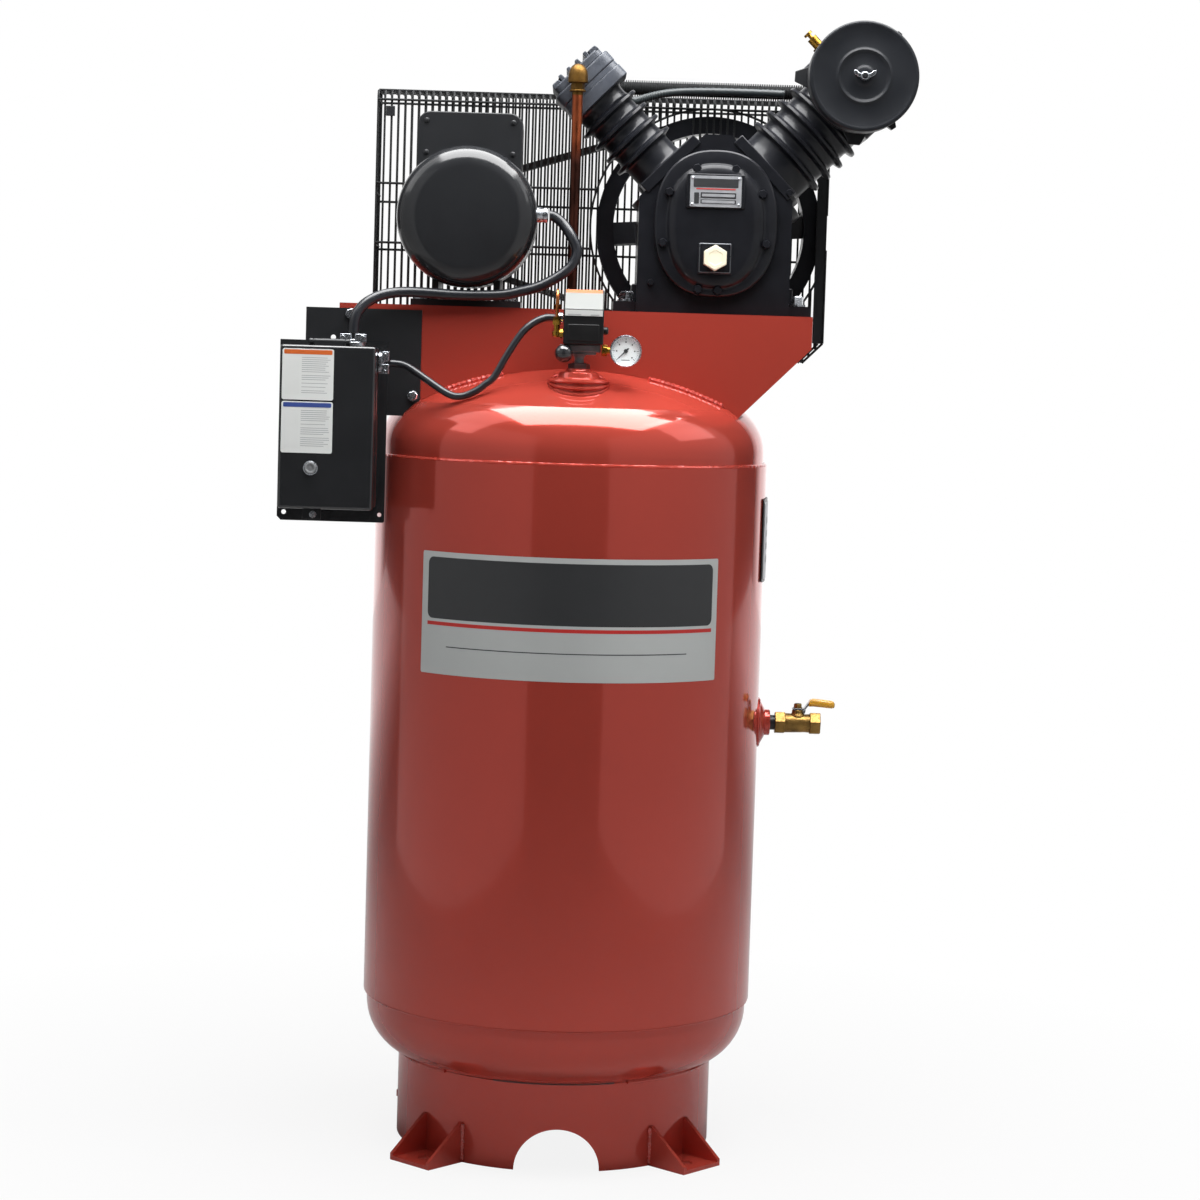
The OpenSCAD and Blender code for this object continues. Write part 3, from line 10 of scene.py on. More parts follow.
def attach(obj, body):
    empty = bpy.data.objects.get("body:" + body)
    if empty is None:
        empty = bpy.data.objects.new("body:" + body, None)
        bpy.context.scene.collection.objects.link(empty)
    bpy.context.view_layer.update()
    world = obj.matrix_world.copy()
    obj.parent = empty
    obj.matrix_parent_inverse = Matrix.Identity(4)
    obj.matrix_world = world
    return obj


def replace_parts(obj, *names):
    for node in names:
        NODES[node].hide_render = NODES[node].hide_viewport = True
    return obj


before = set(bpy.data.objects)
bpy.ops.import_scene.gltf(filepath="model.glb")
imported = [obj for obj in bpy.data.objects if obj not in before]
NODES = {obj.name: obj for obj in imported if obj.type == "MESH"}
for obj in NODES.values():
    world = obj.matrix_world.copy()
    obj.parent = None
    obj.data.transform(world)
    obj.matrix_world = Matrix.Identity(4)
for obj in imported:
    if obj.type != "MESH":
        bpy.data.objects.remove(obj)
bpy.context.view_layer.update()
MM = 0.001
ROOT = "stand"
SHARP_ANGLE = 35
ON_AXIS = 1e-9
RIGHT, BACK, UP = (1, 0, 0), (0, 1, 0), (0, 0, 1)
FRONT = (0, -1, 0)

# Places shared with the solids, in metres
CRANK = Vector((0.208, 0.0, 1.4385))
MOTOR = Vector((-0.17, 0.0, 1.4355))
PLATE_Z = 1.3005
TANK_R = 0.305
SEAM_LOW, SEAM_HIGH = 0.229, 1.069
TANGENT_LOW, TANGENT_HIGH = 0.213, 1.085
HEAD_R, HEAD_DEPTH, KNUCKLE_R, CROWN_R, BLEND_R = 0.2997, 0.137, 0.085, 0.548689, 0.253717
TANK_TURN = math.radians(2)
OUTLET_Z = 0.664


def dome_rise(r):
    """Height of a dished head above its tangent line at radius r."""
    if r <= BLEND_R:
        return HEAD_DEPTH - CROWN_R + math.sqrt(CROWN_R ** 2 - r * r)
    return math.sqrt(max(0.0, KNUCKLE_R ** 2 - (r - HEAD_R + KNUCKLE_R) ** 2))


def dome_z(x, y):
    return TANGENT_HIGH + dome_rise(math.hypot(x, y))


# Mesh helpers
def new_mesh(name, verts, faces, look, slot, body=ROOT):
    """Smooth mesh object with outward normals, its finish and body; slot is not used."""
    me = bpy.data.meshes.new(name)
    me.from_pydata([tuple(v) for v in verts], [], faces)
    me.validate()
    obj = bpy.data.objects.new(name, me)
    bpy.context.collection.objects.link(obj)
    bm = bmesh.new()
    bm.from_mesh(me)
    bmesh.ops.recalc_face_normals(bm, faces=bm.faces)
    bm.to_mesh(me)
    bm.free()
    me.shade_smooth()
    me.set_sharp_from_angle(angle=math.radians(SHARP_ANGLE))
    me.materials.append(M[look])
    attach(obj, body)
    return obj


def bevel(obj, width_mm, segments=2, angle=30):
    mod = obj.modifiers.new("edge", "BEVEL")
    mod.width = width_mm * MM
    mod.segments = segments
    mod.limit_method = "ANGLE"
    mod.angle_limit = math.radians(angle)
    mod.harden_normals = False
    return obj


class Build:
    """Collects many simple solids into one mesh."""

    def __init__(self):
        self.verts = []
        self.faces = []

    def add(self, verts, faces, matrix=None):
        base = len(self.verts)
        self.verts += [(matrix @ Vector(v)) if matrix else Vector(v) for v in verts]
        self.faces += [[base + i for i in f] for f in faces]
        return self

    def box(self, low, high, matrix=None):
        verts = [(x, y, z) for x in (low[0], high[0]) for y in (low[1], high[1]) for z in (low[2], high[2])]
        faces = [(0, 1, 3, 2), (4, 6, 7, 5), (0, 4, 5, 1), (2, 3, 7, 6), (0, 2, 6, 4), (1, 5, 7, 3)]
        return self.add(verts, faces, matrix)

    def lathe(self, profile, matrix=None, steps=48):
        """Turns (radius, height) points about local Z; ends on the axis close by themselves."""
        verts, faces = [], []
        n = len(profile)
        for i in range(steps):
            a = 2 * math.pi * i / steps
            verts += [(r * math.cos(a), r * math.sin(a), h) for r, h in profile]
            j = (i + 1) % steps
            for k in range(n - 1):
                quad = [i * n + k, j * n + k, j * n + k + 1, i * n + k + 1]
                if profile[k][0] < ON_AXIS:
                    quad = [i * n + k, j * n + k + 1, i * n + k + 1]
                elif profile[k + 1][0] < ON_AXIS:
                    quad = [i * n + k, j * n + k, i * n + k + 1]
                faces.append(quad)
        return self.add(verts, faces, matrix)

    def tube(self, path, r, sides=10, closed=False, radii=None, up=(0, 1, 0.01)):
        """Round tube along points, with steady frames."""
        pts = [Vector(p) for p in path]
        n = len(pts)
        ref = Vector(up)
        verts, faces = [], []
        for i, p in enumerate(pts):
            a = pts[(i - 1) % n] if closed or i > 0 else p
            b = pts[(i + 1) % n] if closed or i < n - 1 else p
            t = (b - a).normalized()
            u = t.cross(ref)
            if u.length < 1e-4:
                u = t.cross(Vector(RIGHT))
            u.normalize()
            v = t.cross(u)
            ref = u.cross(t) if i else ref
            rad = radii[i] if radii else r
            for k in range(sides):
                w = 2 * math.pi * k / sides
                verts.append(p + rad * (math.cos(w) * u + math.sin(w) * v))
        for i in range(n if closed else n - 1):
            j = (i + 1) % n
            for k in range(sides):
                m = (k + 1) % sides
                faces.append((i * sides + k, i * sides + m, j * sides + m, j * sides + k))
        if not closed:
            faces.append(tuple(range(sides)))
            faces.append(tuple((n - 1) * sides + k for k in reversed(range(sides))))
        return self.add(verts, faces)

    def prism(self, outline, low, high, matrix=None):
        """Extrudes a flat outline of (x, y) points from low to high along Z."""
        return self.add(*loft([[(x, y, h) for x, y in outline] for h in (low, high)]), matrix)

    def obj(self, name, look, slot, body=ROOT):
        return new_mesh(name, self.verts, self.faces, look, slot, body)


def loft(rings):
    """Skin over rings of equal count, closed at both ends."""
    n = len(rings[0])
    verts = [p for ring in rings for p in ring]
    faces = [(i * n + k, i * n + (k + 1) % n, (i + 1) * n + (k + 1) % n, (i + 1) * n + k)
             for i in range(len(rings) - 1) for k in range(n)]
    return verts, faces + [tuple(reversed(range(n))), tuple(range((len(rings) - 1) * n, len(rings) * n))]


def spin_to(axis, origin):
    """Matrix that carries local Z to an axis at an origin."""
    q = Vector(UP).rotation_difference(Vector(axis).normalized())
    return Matrix.Translation(Vector(origin)) @ q.to_matrix().to_4x4()


def frame_of(x_axis, y_axis, z_axis, origin):
    m = Matrix.Identity(4)
    for i, col in enumerate((x_axis, y_axis, z_axis)):
        for k in range(3):
            m[k][i] = col[k]
    m.translation = Vector(origin)
    return m


def facing(origin):
    """Frame of a front face: local X to the right, Y up, Z towards the viewer."""
    return frame_of(RIGHT, UP, FRONT, origin)


def arc(cx, cy, r, start, end, steps):
    """Points of an arc, angles in degrees."""
    angles = [math.radians(start + (end - start) * k / steps) for k in range(steps + 1)]
    return [(cx + r * math.cos(a), cy + r * math.sin(a)) for a in angles]


def circle(cx, cy, r, steps):
    return arc(cx, cy, r, 0, 360, steps)[:-1]


def hex_points(flats, turn=0.0, scale=1.0):
    r = flats / math.sqrt(3) * scale
    return [(r * math.cos(turn + k * math.pi / 3), r * math.sin(turn + k * math.pi / 3)) for k in range(6)]


def round_rect(w, h, r, steps=5, cx=0.0, cy=0.0):
    """Outline of a rectangle with round corners."""
    pts = []
    for sx, sy, start in ((1, 1, 0), (-1, 1, 90), (-1, -1, 180), (1, -1, 270)):
        pts += arc(cx + sx * (w / 2 - r), cy + sy * (h / 2 - r), r, start, start + 90, steps)
    return pts


def mm(*points):
    """Points given in millimetres."""
    return [tuple(c * MM for c in p) for p in points]


def rect(x0, x1, y0, y1):
    return [(x0, y0), (x1, y0), (x1, y1), (x0, y1)]


def smooth_path(points, per=4):
    """Catmull-Rom curve through points."""
    p = [Vector(q) for q in points]
    out = []
    for i in range(len(p) - 1):
        a, b, c, d = p[max(0, i - 1)], p[i], p[i + 1], p[min(len(p) - 1, i + 2)]
        for k in range(per):
            t = k / per
            out.append(0.5 * (2 * b + (c - a) * t + (2 * a - 5 * b + 4 * c - d) * t * t
                              + (3 * b - a - 3 * c + d) * t ** 3))
    return out + [p[-1]]


# Procedural materials, in metres of the row frame
def lin(r, g, b):
    """Linear colour from 0 to 255 display values."""
    steps = ((c / 255) / 12.92 if c <= 10 else ((c / 255 + 0.055) / 1.055) ** 2.4 for c in (r, g, b))
    return (*steps, 1.0)


class Graph:
    """Node tree with short forms for the nodes used here."""

    def __init__(self, tree):
        self.tree = tree

    def node(self, kind, **values):
        n = self.tree.nodes.new("ShaderNode" + kind)
        for key, value in values.items():
            if hasattr(n, key) and key not in n.inputs:
                setattr(n, key, value)
            else:
                n.inputs[key.replace("_", " ")].default_value = value
        return n

    def link(self, a, b):
        self.tree.links.new(a, b)
        return self

    def span(self, fac, low, high, a=0.3, b=0.7):
        m = self.node("MapRange", From_Min=a, From_Max=b, To_Min=low, To_Max=high)
        self.link(fac, m.inputs["Value"])
        return m.outputs["Result"]

    def axis(self, vector, name):
        split = self.node("SeparateXYZ")
        self.link(vector, split.inputs[0])
        return split.outputs[name]

    def maths(self, operation, a, b):
        n = self.node("Math", operation=operation)
        self.link(a, n.inputs[0]).link(b, n.inputs[1])
        return n.outputs[0]


class Shader(Graph):
    """A Principled material with a few helpers for its textures."""

    def __init__(self, name):
        self.mat = bpy.data.materials.new(name)
        self.mat.use_nodes = True
        super().__init__(self.mat.node_tree)
        self.bsdf = self.tree.nodes["Principled BSDF"]
        self.coord = self.node("TexCoord").outputs["Object"]

    def noise(self, scale, detail=4.0, rough=0.55, stretch=None):
        n = self.node("TexNoise", Scale=scale, Detail=detail, Roughness=rough)
        if stretch:
            m = self.node("Mapping", Scale=stretch)
            self.link(self.coord, m.inputs["Vector"]).link(m.outputs["Vector"], n.inputs["Vector"])
        else:
            self.link(self.coord, n.inputs["Vector"])
        return n.outputs["Fac"]

    def ramp(self, fac, stops):
        """Base colour from a ramp of (place, colour) stops."""
        r = self.node("ValToRGB")
        e = r.color_ramp.elements
        while len(e) < len(stops):
            e.new(0.5)
        for item, (pos, col) in zip(e, stops):
            item.position = pos
            item.color = col
        self.link(fac, r.inputs["Fac"]).link(r.outputs["Color"], self.bsdf.inputs["Base Color"])

    def bump(self, fac, strength, height_mm, under=None):
        b = self.node("Bump", Strength=strength, Distance=height_mm * MM)
        self.link(fac, b.inputs["Height"])
        if under is not None:
            self.link(under, b.inputs["Normal"])
        self.link(b.outputs["Normal"], self.bsdf.inputs["Normal"])
        return b.outputs["Normal"]

    def set(self, **values):
        for key, value in values.items():
            self.bsdf.inputs[key.replace("_", " ")].default_value = value
        return self


def shade(col, k):
    return tuple(min(1.0, c * k) for c in col[:3]) + (1.0,)


def finish(label, rgb, rough, spread, metal, tone, tone_scale, grain, depth, grain_mm, more=None):
    """One finish: colour drift, uneven gloss and a fine surface."""
    top = {"coat": 0.0, "coat_rough": 0.08, "spec": 0.5, "stretch": None, "extra": None, **(more or {})}
    s = Shader(label)
    col = lin(*rgb)
    s.ramp(s.noise(tone_scale, 5.0), [(0.3, shade(col, tone[0])), (0.7, shade(col, tone[1]))])
    gloss = s.noise(tone_scale * 5, 4.0, 0.6, top["stretch"])
    s.link(s.span(gloss, max(0.02, rough - spread), rough + spread), s.bsdf.inputs["Roughness"])
    under = s.bump(s.noise(grain, 3.0, 0.6, top["stretch"]), depth, grain_mm)
    s.set(Metallic=metal, Coat_Weight=top["coat"], Coat_Roughness=top["coat_rough"],
          Specular_IOR_Level=top["spec"])
    if top["extra"]:
        top["extra"](s, under)
    return s.mat


def orange_peel(s, under):
    s.bump(s.noise(160.0, 2.0, 0.4), 0.02, 0.6, under)


def red_gloss(s, under):
    """Enamel whose under-gloss keeps the hue of the paint."""
    orange_peel(s, under)
    s.set(Specular_Tint=(1.0, 0.1, 0.08, 1.0))


def cast_skin(s, under):
    s.bump(s.noise(70.0, 6.0, 0.65), 0.2, 0.6, under)


def riser_light_and_shade(s, _under):
    """Copper painted lighter at the head as a painted highlight and darker down the tube as painted shade,
    with random blotches of tone.
    """
    height = s.span(s.axis(s.coord, "Z"), 0.0, 0.7, 1.52, 1.56)
    blotch = s.span(s.noise(38.0, 4.0, 0.6, (1, 1, 0.3)), 0.0, 0.3)
    s.ramp(s.maths("ADD", height, blotch), [(0.0, lin(44, 30, 27)), (0.3, lin(92, 52, 42)),
                                            (0.7, lin(132, 66, 42)), (1.0, lin(184, 98, 62))])


# Rows: key, label, display colour, roughness and its spread, metal, drift of tone and its scale,
# grain scale, grain strength, grain height in millimetres, then what differs from a plain finish
EVEN = (0.85, 1.12)
FINISHES = (
    ("red", "red_enamel", (172, 66, 54), 0.14, 0.02, 0.2, (0.95, 1.04), 3, 900, 0.03, 0.15,
     dict(coat=0.55, coat_rough=0.05, spec=1.0, extra=red_gloss)),
    # Stitch welds in a slightly lighter red than the enamel: a painted highlight on the bead crowns
    ("red_weld", "red_weld", (186, 66, 56), 0.26, 0.08, 0, (0.8, 1.2), 60, 240, 0.35, 1, dict(coat=0.5)),
    ("black", "black_enamel", (35, 36, 38), 0.34, 0.03, 0, EVEN, 9, 700, 0.05, 0.2,
     dict(coat=0.1, coat_rough=0.2, spec=0.26)),
    ("bell", "bell_enamel", (35, 36, 38), 0.16, 0.03, 0, EVEN, 9, 800, 0.03, 0.15,
     dict(coat=0.12, coat_rough=0.05, spec=0.4, extra=orange_peel)),
    ("gloss_black", "gloss_black", (35, 36, 38), 0.18, 0.04, 0, EVEN, 9, 800, 0.03, 0.15,
     dict(coat=0.5, coat_rough=0.06, extra=orange_peel)),
    ("filter", "filter_satin", (22, 24, 28), 0.42, 0.05, 0, EVEN, 9, 900, 0.06, 0.2,
     dict(coat=0.06, coat_rough=0.2, spec=0.25)),
    ("bush", "bush_iron", (62, 34, 34), 0.4, 0.1, 0, (0.6, 1.3), 60, 500, 0.2, 0.3),
    ("bronze", "valve_bronze", (148, 116, 62), 0.4, 0.1, 0.85, (0.55, 1.15), 50, 420, 0.35, 0.5),
    ("copper_bright", "bright_copper", (200, 122, 72), 0.28, 0.08, 1, (0.7, 1.15), 60, 600, 0.1, 0.2),
    ("paper_grey", "card_edge", (196, 198, 196), 0.5, 0.04, 0, (0.96, 1.03), 9, 900, 0.04, 0.1),
    ("card_field", "card_field", (222, 224, 222), 0.45, 0.04, 0, (0.96, 1.03), 9, 900, 0.04, 0.1),
    ("cast", "cast_black", (22, 23, 27), 0.36, 0.06, 0, (0.8, 1.25), 22, 420, 0.15, 0.3,
     dict(coat=0.26, coat_rough=0.16, spec=0.14, extra=cast_skin)),
    ("cast_grey", "head_casting", (58, 62, 70), 0.45, 0.1, 0, (0.7, 1.3), 26, 420, 0.35, 0.5,
     dict(extra=cast_skin)),
    ("wire", "guard_wire", (24, 25, 26), 0.5, 0.08, 0, EVEN, 9, 500, 0.1, 0.4, dict(spec=0.25)),
    ("zinc", "bright_zinc", (196, 200, 206), 0.26, 0.1, 1, (0.75, 1.1), 90, 900, 0.08, 0.2),
    ("steel", "turned_steel", (150, 153, 158), 0.32, 0.08, 1, (0.8, 1.1), 40, 600, 0.1, 0.2),
    ("brass", "worn_brass", (196, 148, 62), 0.3, 0.1, 1, (0.55, 1.15), 55, 500, 0.15, 0.3),
    ("brass_dark", "dull_brass", (108, 78, 32), 0.44, 0.1, 0.85, (0.5, 1.2), 60, 500, 0.2, 0.3),
    # Riser copper: colour set by height, a painted highlight at the top and painted shade below
    ("copper", "aged_copper", (158, 88, 58), 0.36, 0.12, 1, (0.4, 1.2), 45, 500, 0.1, 0.2,
     dict(stretch=(1, 1, 0.25), extra=riser_light_and_shade)),
    ("belt", "belt_rubber", (24, 24, 25), 0.7, 0.08, 0, EVEN, 9, 800, 0.3, 0.4),
    ("cable", "cable_jacket", (22, 24, 29), 0.34, 0.06, 0, EVEN, 30, 900, 0.08, 0.2, dict(coat=0.1)),
    ("cooler", "cooler_black", (24, 25, 26), 0.6, 0.06, 0, (0.8, 1.2), 9, 420, 0.1, 0.4, dict(spec=0.12)),
    ("hose", "hose_rubber", (27, 32, 34), 0.45, 0.06, 0, EVEN, 30, 900, 0.08, 0.2),
    ("switch", "switch_plastic", (18, 18, 19), 0.42, 0.08, 0, EVEN, 9, 1100, 0.25, 0.3, dict(spec=0.3)),
    ("grey_cast", "grey_casting", (118, 120, 122), 0.48, 0.1, 0.15, (0.75, 1.15), 60, 520, 0.35, 0.4),
    ("cream", "cream_plastic", (248, 240, 212), 0.34, 0.05, 0, (0.94, 1.03), 40, 700, 0.06, 0.2),
    ("grey", "grey_plastic", (132, 134, 136), 0.4, 0.06, 0, (0.94, 1.05), 9, 900, 0.15, 0.2),
    ("relay", "relay_plastic", (52, 53, 56), 0.5, 0.06, 0, EVEN, 9, 900, 0.2, 0.3),
    ("card_slope", "slope_card", (152, 154, 152), 0.5, 0.04, 0, (0.97, 1.02), 9, 900, 0.04, 0.2,
     dict(spec=0.2)),
    ("paper", "label_card", (224, 226, 224), 0.45, 0.04, 0, (0.97, 1.02), 9, 900, 0.04, 0.1),
    ("dial", "dial_white", (240, 242, 242), 0.4, 0.04, 0, (0.98, 1.01), 9, 900, 0.02, 0.1),
    ("ink", "printing_ink", (40, 41, 43), 0.45, 0.04, 0, (0.95, 1.05), 9, 900, 0.02, 0.1),
    ("ink_grey", "grey_ink", (150, 152, 154), 0.45, 0.04, 0, (0.96, 1.04), 9, 900, 0.02, 0.1),
    ("orange", "orange_ink", (206, 98, 36), 0.42, 0.04, 0, (0.96, 1.04), 9, 900, 0.02, 0.1),
    ("blue", "blue_ink", (52, 74, 142), 0.42, 0.04, 0, (0.96, 1.04), 9, 900, 0.02, 0.1),
    ("red_ink", "red_ink", (190, 38, 34), 0.42, 0.04, 0, (0.96, 1.04), 9, 900, 0.02, 0.1),
    ("silver", "silver_film", (186, 189, 188), 0.36, 0.05, 0.15, (0.95, 1.04), 4, 1200, 0.05, 0.1),
    ("plate", "etched_plate", (168, 170, 174), 0.36, 0.08, 0.35, (0.85, 1.08), 60, 900, 0.1, 0.1),
    ("grip", "lever_vinyl", (214, 158, 40), 0.34, 0.06, 0, (0.88, 1.08), 60, 500, 0.1, 0.3, dict(coat=0.2)),
    ("felt", "filter_felt", (222, 212, 180), 0.85, 0.05, 0, (0.85, 1.1), 200, 1400, 0.5, 0.6),
    ("winding", "winding_lacquer", (128, 70, 36), 0.35, 0.1, 0.4, (0.7, 1.2), 200, 900, 0.4, 0.5),
)
M = {key: finish(*row) for key, *row in FINISHES}
glass = Shader("gauge_glass")
glass.set(Base_Color=(0.94, 0.97, 0.97, 1), Roughness=0.02, Transmission_Weight=1.0, IOR=1.15, Alpha=0.25)
M["glass"] = glass.mat


# Camera of the photograph
LENS, SENSOR = 88.32, 36.0
YAW, PITCH, ROLL = 0.01101, -0.08188, 0.03101
EYE = Vector((0.00001, -4.61397, 1.22807))


def make_camera():
    right = Vector((math.cos(YAW), -math.sin(YAW), 0))
    ahead = Vector((math.sin(YAW) * math.cos(PITCH), math.cos(YAW) * math.cos(PITCH), math.sin(PITCH)))
    up = right.cross(ahead)
    cam_x = math.cos(ROLL) * right + math.sin(ROLL) * up
    cam_y = math.cos(ROLL) * up - math.sin(ROLL) * right
    data = bpy.data.cameras.new("camera")
    data.lens = LENS
    data.sensor_width = SENSOR
    data.clip_end = 60
    cam = bpy.data.objects.new("camera", data)
    cam.matrix_world = frame_of(cam_x, cam_y, -ahead, EYE)
    bpy.context.collection.objects.link(cam)
    bpy.context.scene.camera = cam


def area_light(name, place, target, size, radiance):
    """Soft box facing a target."""
    data = bpy.data.lights.new(name, "AREA")
    data.shape = "RECTANGLE"
    data.size, data.size_y = size
    data.energy = radiance * math.pi * size[0] * size[1]
    lamp = bpy.data.objects.new(name, data)
    lamp.location = place
    lamp.rotation_euler = (Vector(target) - Vector(place)).to_track_quat("-Z", "Y").to_euler()
    bpy.context.collection.objects.link(lamp)
    return lamp


# Radiance of the surroundings: what lights the part, and the dim and bright ends of its reflections,
# with the directions between which they change
AMBIENT, MIRROR_FRONT, MIRROR_BACK = 0.17, 0.05, 1.3
MIRROR_START, MIRROR_END = 0.75, 0.84


def make_world():
    """Even studio light: white to the camera, bright behind the object and dim in front in reflections."""
    world = bpy.data.worlds.new("studio")
    bpy.context.scene.world = world
    world.use_nodes = True
    world.node_tree.nodes.clear()
    g = Graph(world.node_tree)
    ray = g.node("LightPath").outputs
    depth = g.axis(g.node("TexCoord").outputs["Generated"], "Y")
    level = g.span(depth, MIRROR_FRONT, MIRROR_BACK, MIRROR_START, MIRROR_END)
    seen = g.maths("MAXIMUM", ray["Is Glossy Ray"], ray["Is Transmission Ray"])
    soft = g.node("Mix", A=AMBIENT)
    g.link(seen, soft.inputs["Factor"]).link(level, soft.inputs["B"])
    shown = g.node("Mix", B=1.0)
    g.link(ray["Is Camera Ray"], shown.inputs["Factor"]).link(soft.outputs["Result"], shown.inputs["A"])
    back = g.node("Background", Color=(1, 1, 1, 1))
    g.link(shown.outputs["Result"], back.inputs["Strength"])
    g.link(back.outputs[0], g.node("OutputWorld").inputs["Surface"])


FLOOR_REACH = 9.0
FLOOR_GREY = 0.44
WHITE_UNDER, WHITE_NEAR, WHITE_FAR = 0.88, 0.4, 1.5
BACKDROP_NEAR, BACKDROP_FAR = 2.0, 5.0


def make_floor():
    """Pale floor that shows nearly white and keeps a soft shadow."""
    obj = bpy.data.objects.new("floor", bpy.data.meshes.new("floor"))
    corners = rect(-FLOOR_REACH, FLOOR_REACH, -FLOOR_REACH, FLOOR_REACH)
    obj.data.from_pydata([(x, y, 0) for x, y in corners], [], [(0, 1, 2, 3)])
    bpy.context.collection.objects.link(obj)
    s = Shader("floor_white").set(Base_Color=(FLOOR_GREY, FLOOR_GREY, FLOOR_GREY, 1), Roughness=0.9)
    ray = s.node("LightPath").outputs
    away = s.node("VectorMath", operation="LENGTH")
    s.link(s.coord, away.inputs[0])
    white = s.span(away.outputs["Value"], WHITE_UNDER, 1.0, WHITE_NEAR, WHITE_FAR)
    behind = s.span(s.axis(s.coord, "Y"), 0.0, 1.0, BACKDROP_NEAR, BACKDROP_FAR)
    gloss = s.maths("MULTIPLY", ray["Is Glossy Ray"], behind)
    both = s.maths("MAXIMUM", gloss, ray["Is Transmission Ray"])
    shown = s.maths("MAXIMUM", ray["Is Camera Ray"], both)
    mix = s.node("MixShader")
    s.link(s.maths("MULTIPLY", shown, white), mix.inputs[0]).link(s.bsdf.outputs[0], mix.inputs[1])
    s.link(s.node("Emission").outputs[0], mix.inputs[2])
    s.link(mix.outputs[0], s.tree.nodes["Material Output"].inputs["Surface"])
    obj.data.materials.append(s.mat)


make_camera()
make_world()
make_floor()
for side, sx in (("left", -1), ("right", 1)):
    wall = ((sx * 2.08, -1.18, 1.5), (sx * 1.148, -0.818, 1.5), (4.56, 3.4))
    area_light(side + "_wall_card", *wall, 0.42).visible_diffuse = False
    area_light(side + "_wall", *wall, 0.14)
for card in (("overhead_card", (0.3, -0.45, 3.3), (0.3, -0.45, 1.2), (2.8, 2.0), 14.0),
             ("left_sheen", (-1.9, -0.3, 3.1), (0.2, 0.0, 1.6), (1.5, 1.8), 2.0),
             ("right_sheen", (2.3, -0.3, 3.1), (0.2, 0.0, 1.6), (1.5, 1.8), 2.0)):
    area_light(*card).visible_diffuse = False
for fill in (("overhead", (0.25, -0.12, 3.3), (0.25, -0.12, 1.2), (2.4, 1.3), 15.0),
             ("key_fill", (0.15, -0.8, 2.45), (0.05, -0.1, 1.25), (1.4, 0.9), 8.2),
             ("back_fill", (0.0, 3.0, 2.2), (0.0, 0.0, 0.8), (2.4, 2.4), 1.6)):
    area_light(*fill).visible_glossy = False
bpy.context.scene.view_settings.view_transform = "Standard"

# Leads: the routes of the solids, in millimetres
MOTOR_LEAD = [
    (-45, -98, 1442), (-38, -98, 1441), (-25, -102, 1431), (-12, -110, 1413), (-2, -113, 1391),
    (-8, -117, 1369), (-27, -121, 1351), (-57, -126, 1334), (-87, -130, 1325), (-116, -132, 1319),
    (-177, -134, 1317), (-253, -140, 1319), (-290, -148, 1314), (-315, -156, 1302),
    (-328, -162, 1287), (-333, -165, 1272), (-334, -166, 1255.5),
]
SWITCH_LEAD = [
    (-277, -166, 1211), (-262, -167, 1210), (-248, -171, 1205), (-221, -182, 1188),
    (-188, -196, 1168), (-168, -200, 1165), (-148, -200, 1173), (-133, -198, 1184),
    (-119, -196, 1197), (-101, -193, 1230), (-80, -188, 1263), (-62, -183, 1279), (-46, -179, 1286),
    (-32.5, -178, 1286.5),
]


def make_lead(name, route, radius):
    """Cable as one smooth curve between two connectors."""
    pts = smooth_path([Vector(p) * MM for p in route], 5)
    data = bpy.data.curves.new(name, "CURVE")
    data.dimensions = "3D"
    data.bevel_depth = radius
    data.bevel_resolution = 5
    data.use_fill_caps = True
    line = data.splines.new("POLY")
    line.points.add(len(pts) - 1)
    for item, p in zip(line.points, pts):
        item.co = (*p, 1)
    obj = bpy.data.objects.new(name + "_jacket", data)
    bpy.context.collection.objects.link(obj)
    data.materials.append(M["cable"])
    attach(obj, ROOT)
    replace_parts(obj, name)
    length = sum((b - a).length for a, b in zip(pts, pts[1:]))
    tuple(pts[0])


make_lead("motor_lead", MOTOR_LEAD, 0.008)
make_lead("switch_lead", SWITCH_LEAD, 0.0055)

# Finishes and soft edges of the solids
LOOKS = {
    "red": "tank_shell tank_heads base_skirt tank_couplings saddle mounting_feet",
    "cast": "crankcase crankcase_cover small_cylinder large_cylinder large_head intercooler"
            " flywheel motor_pulley",
    "cast_grey": "small_head",
    "black": "filter_housing filter_cover motor_frame motor_rear_bell conduit_box starter_bracket"
             " starter_pan starter_cover outlet_nipple",
    "bell": "motor_front_bell",
    "steel": "crankshaft bearings connecting_rods pistons valve_plates motor_rotor",
    "zinc": "wing_nut valve_ball pressure_gauge fasteners cable_connectors",
    "brass": "relief_valve relief_stem discharge_elbow check_valve unloader ball_valve_body"
             " drain_cock drain_handle",
    "copper": "discharge_tube", "belt": "drive_belts", "winding": "motor_stator",
    "wire": "guard_front guard_back", "cable": "motor_lead switch_lead", "grip": "valve_handle",
    "grey_cast": "switch_manifold", "switch": "pressure_switch", "glass": "gauge_lens",
    "ink": "gauge_needle", "relay": "contactor", "grey": "reset_button", "cream": "oil_plug",
    "felt": "filter_element",
}
for look, names in LOOKS.items():
    for name in names.split():
        mesh = NODES[name].data
        mesh.materials.clear()
        mesh.materials.append(M[look])
EDGES_MM = {
    "saddle": 3.0, "crankcase": 4.0, "flywheel": 1.5, "motor_pulley": 1.5, "base_skirt": 1.2,
    "contactor": 1.5, "motor_frame": 2.0, "starter_bracket": 1.0, "check_valve": 1.0,
    "relief_valve": 0.8, "relief_stem": 0.8, "drain_cock": 1.0, "drain_handle": 1.2,
}
for name, width in EDGES_MM.items():
    bevel(NODES[name], width)
bevel(NODES["mounting_feet"], 2.5, 3)


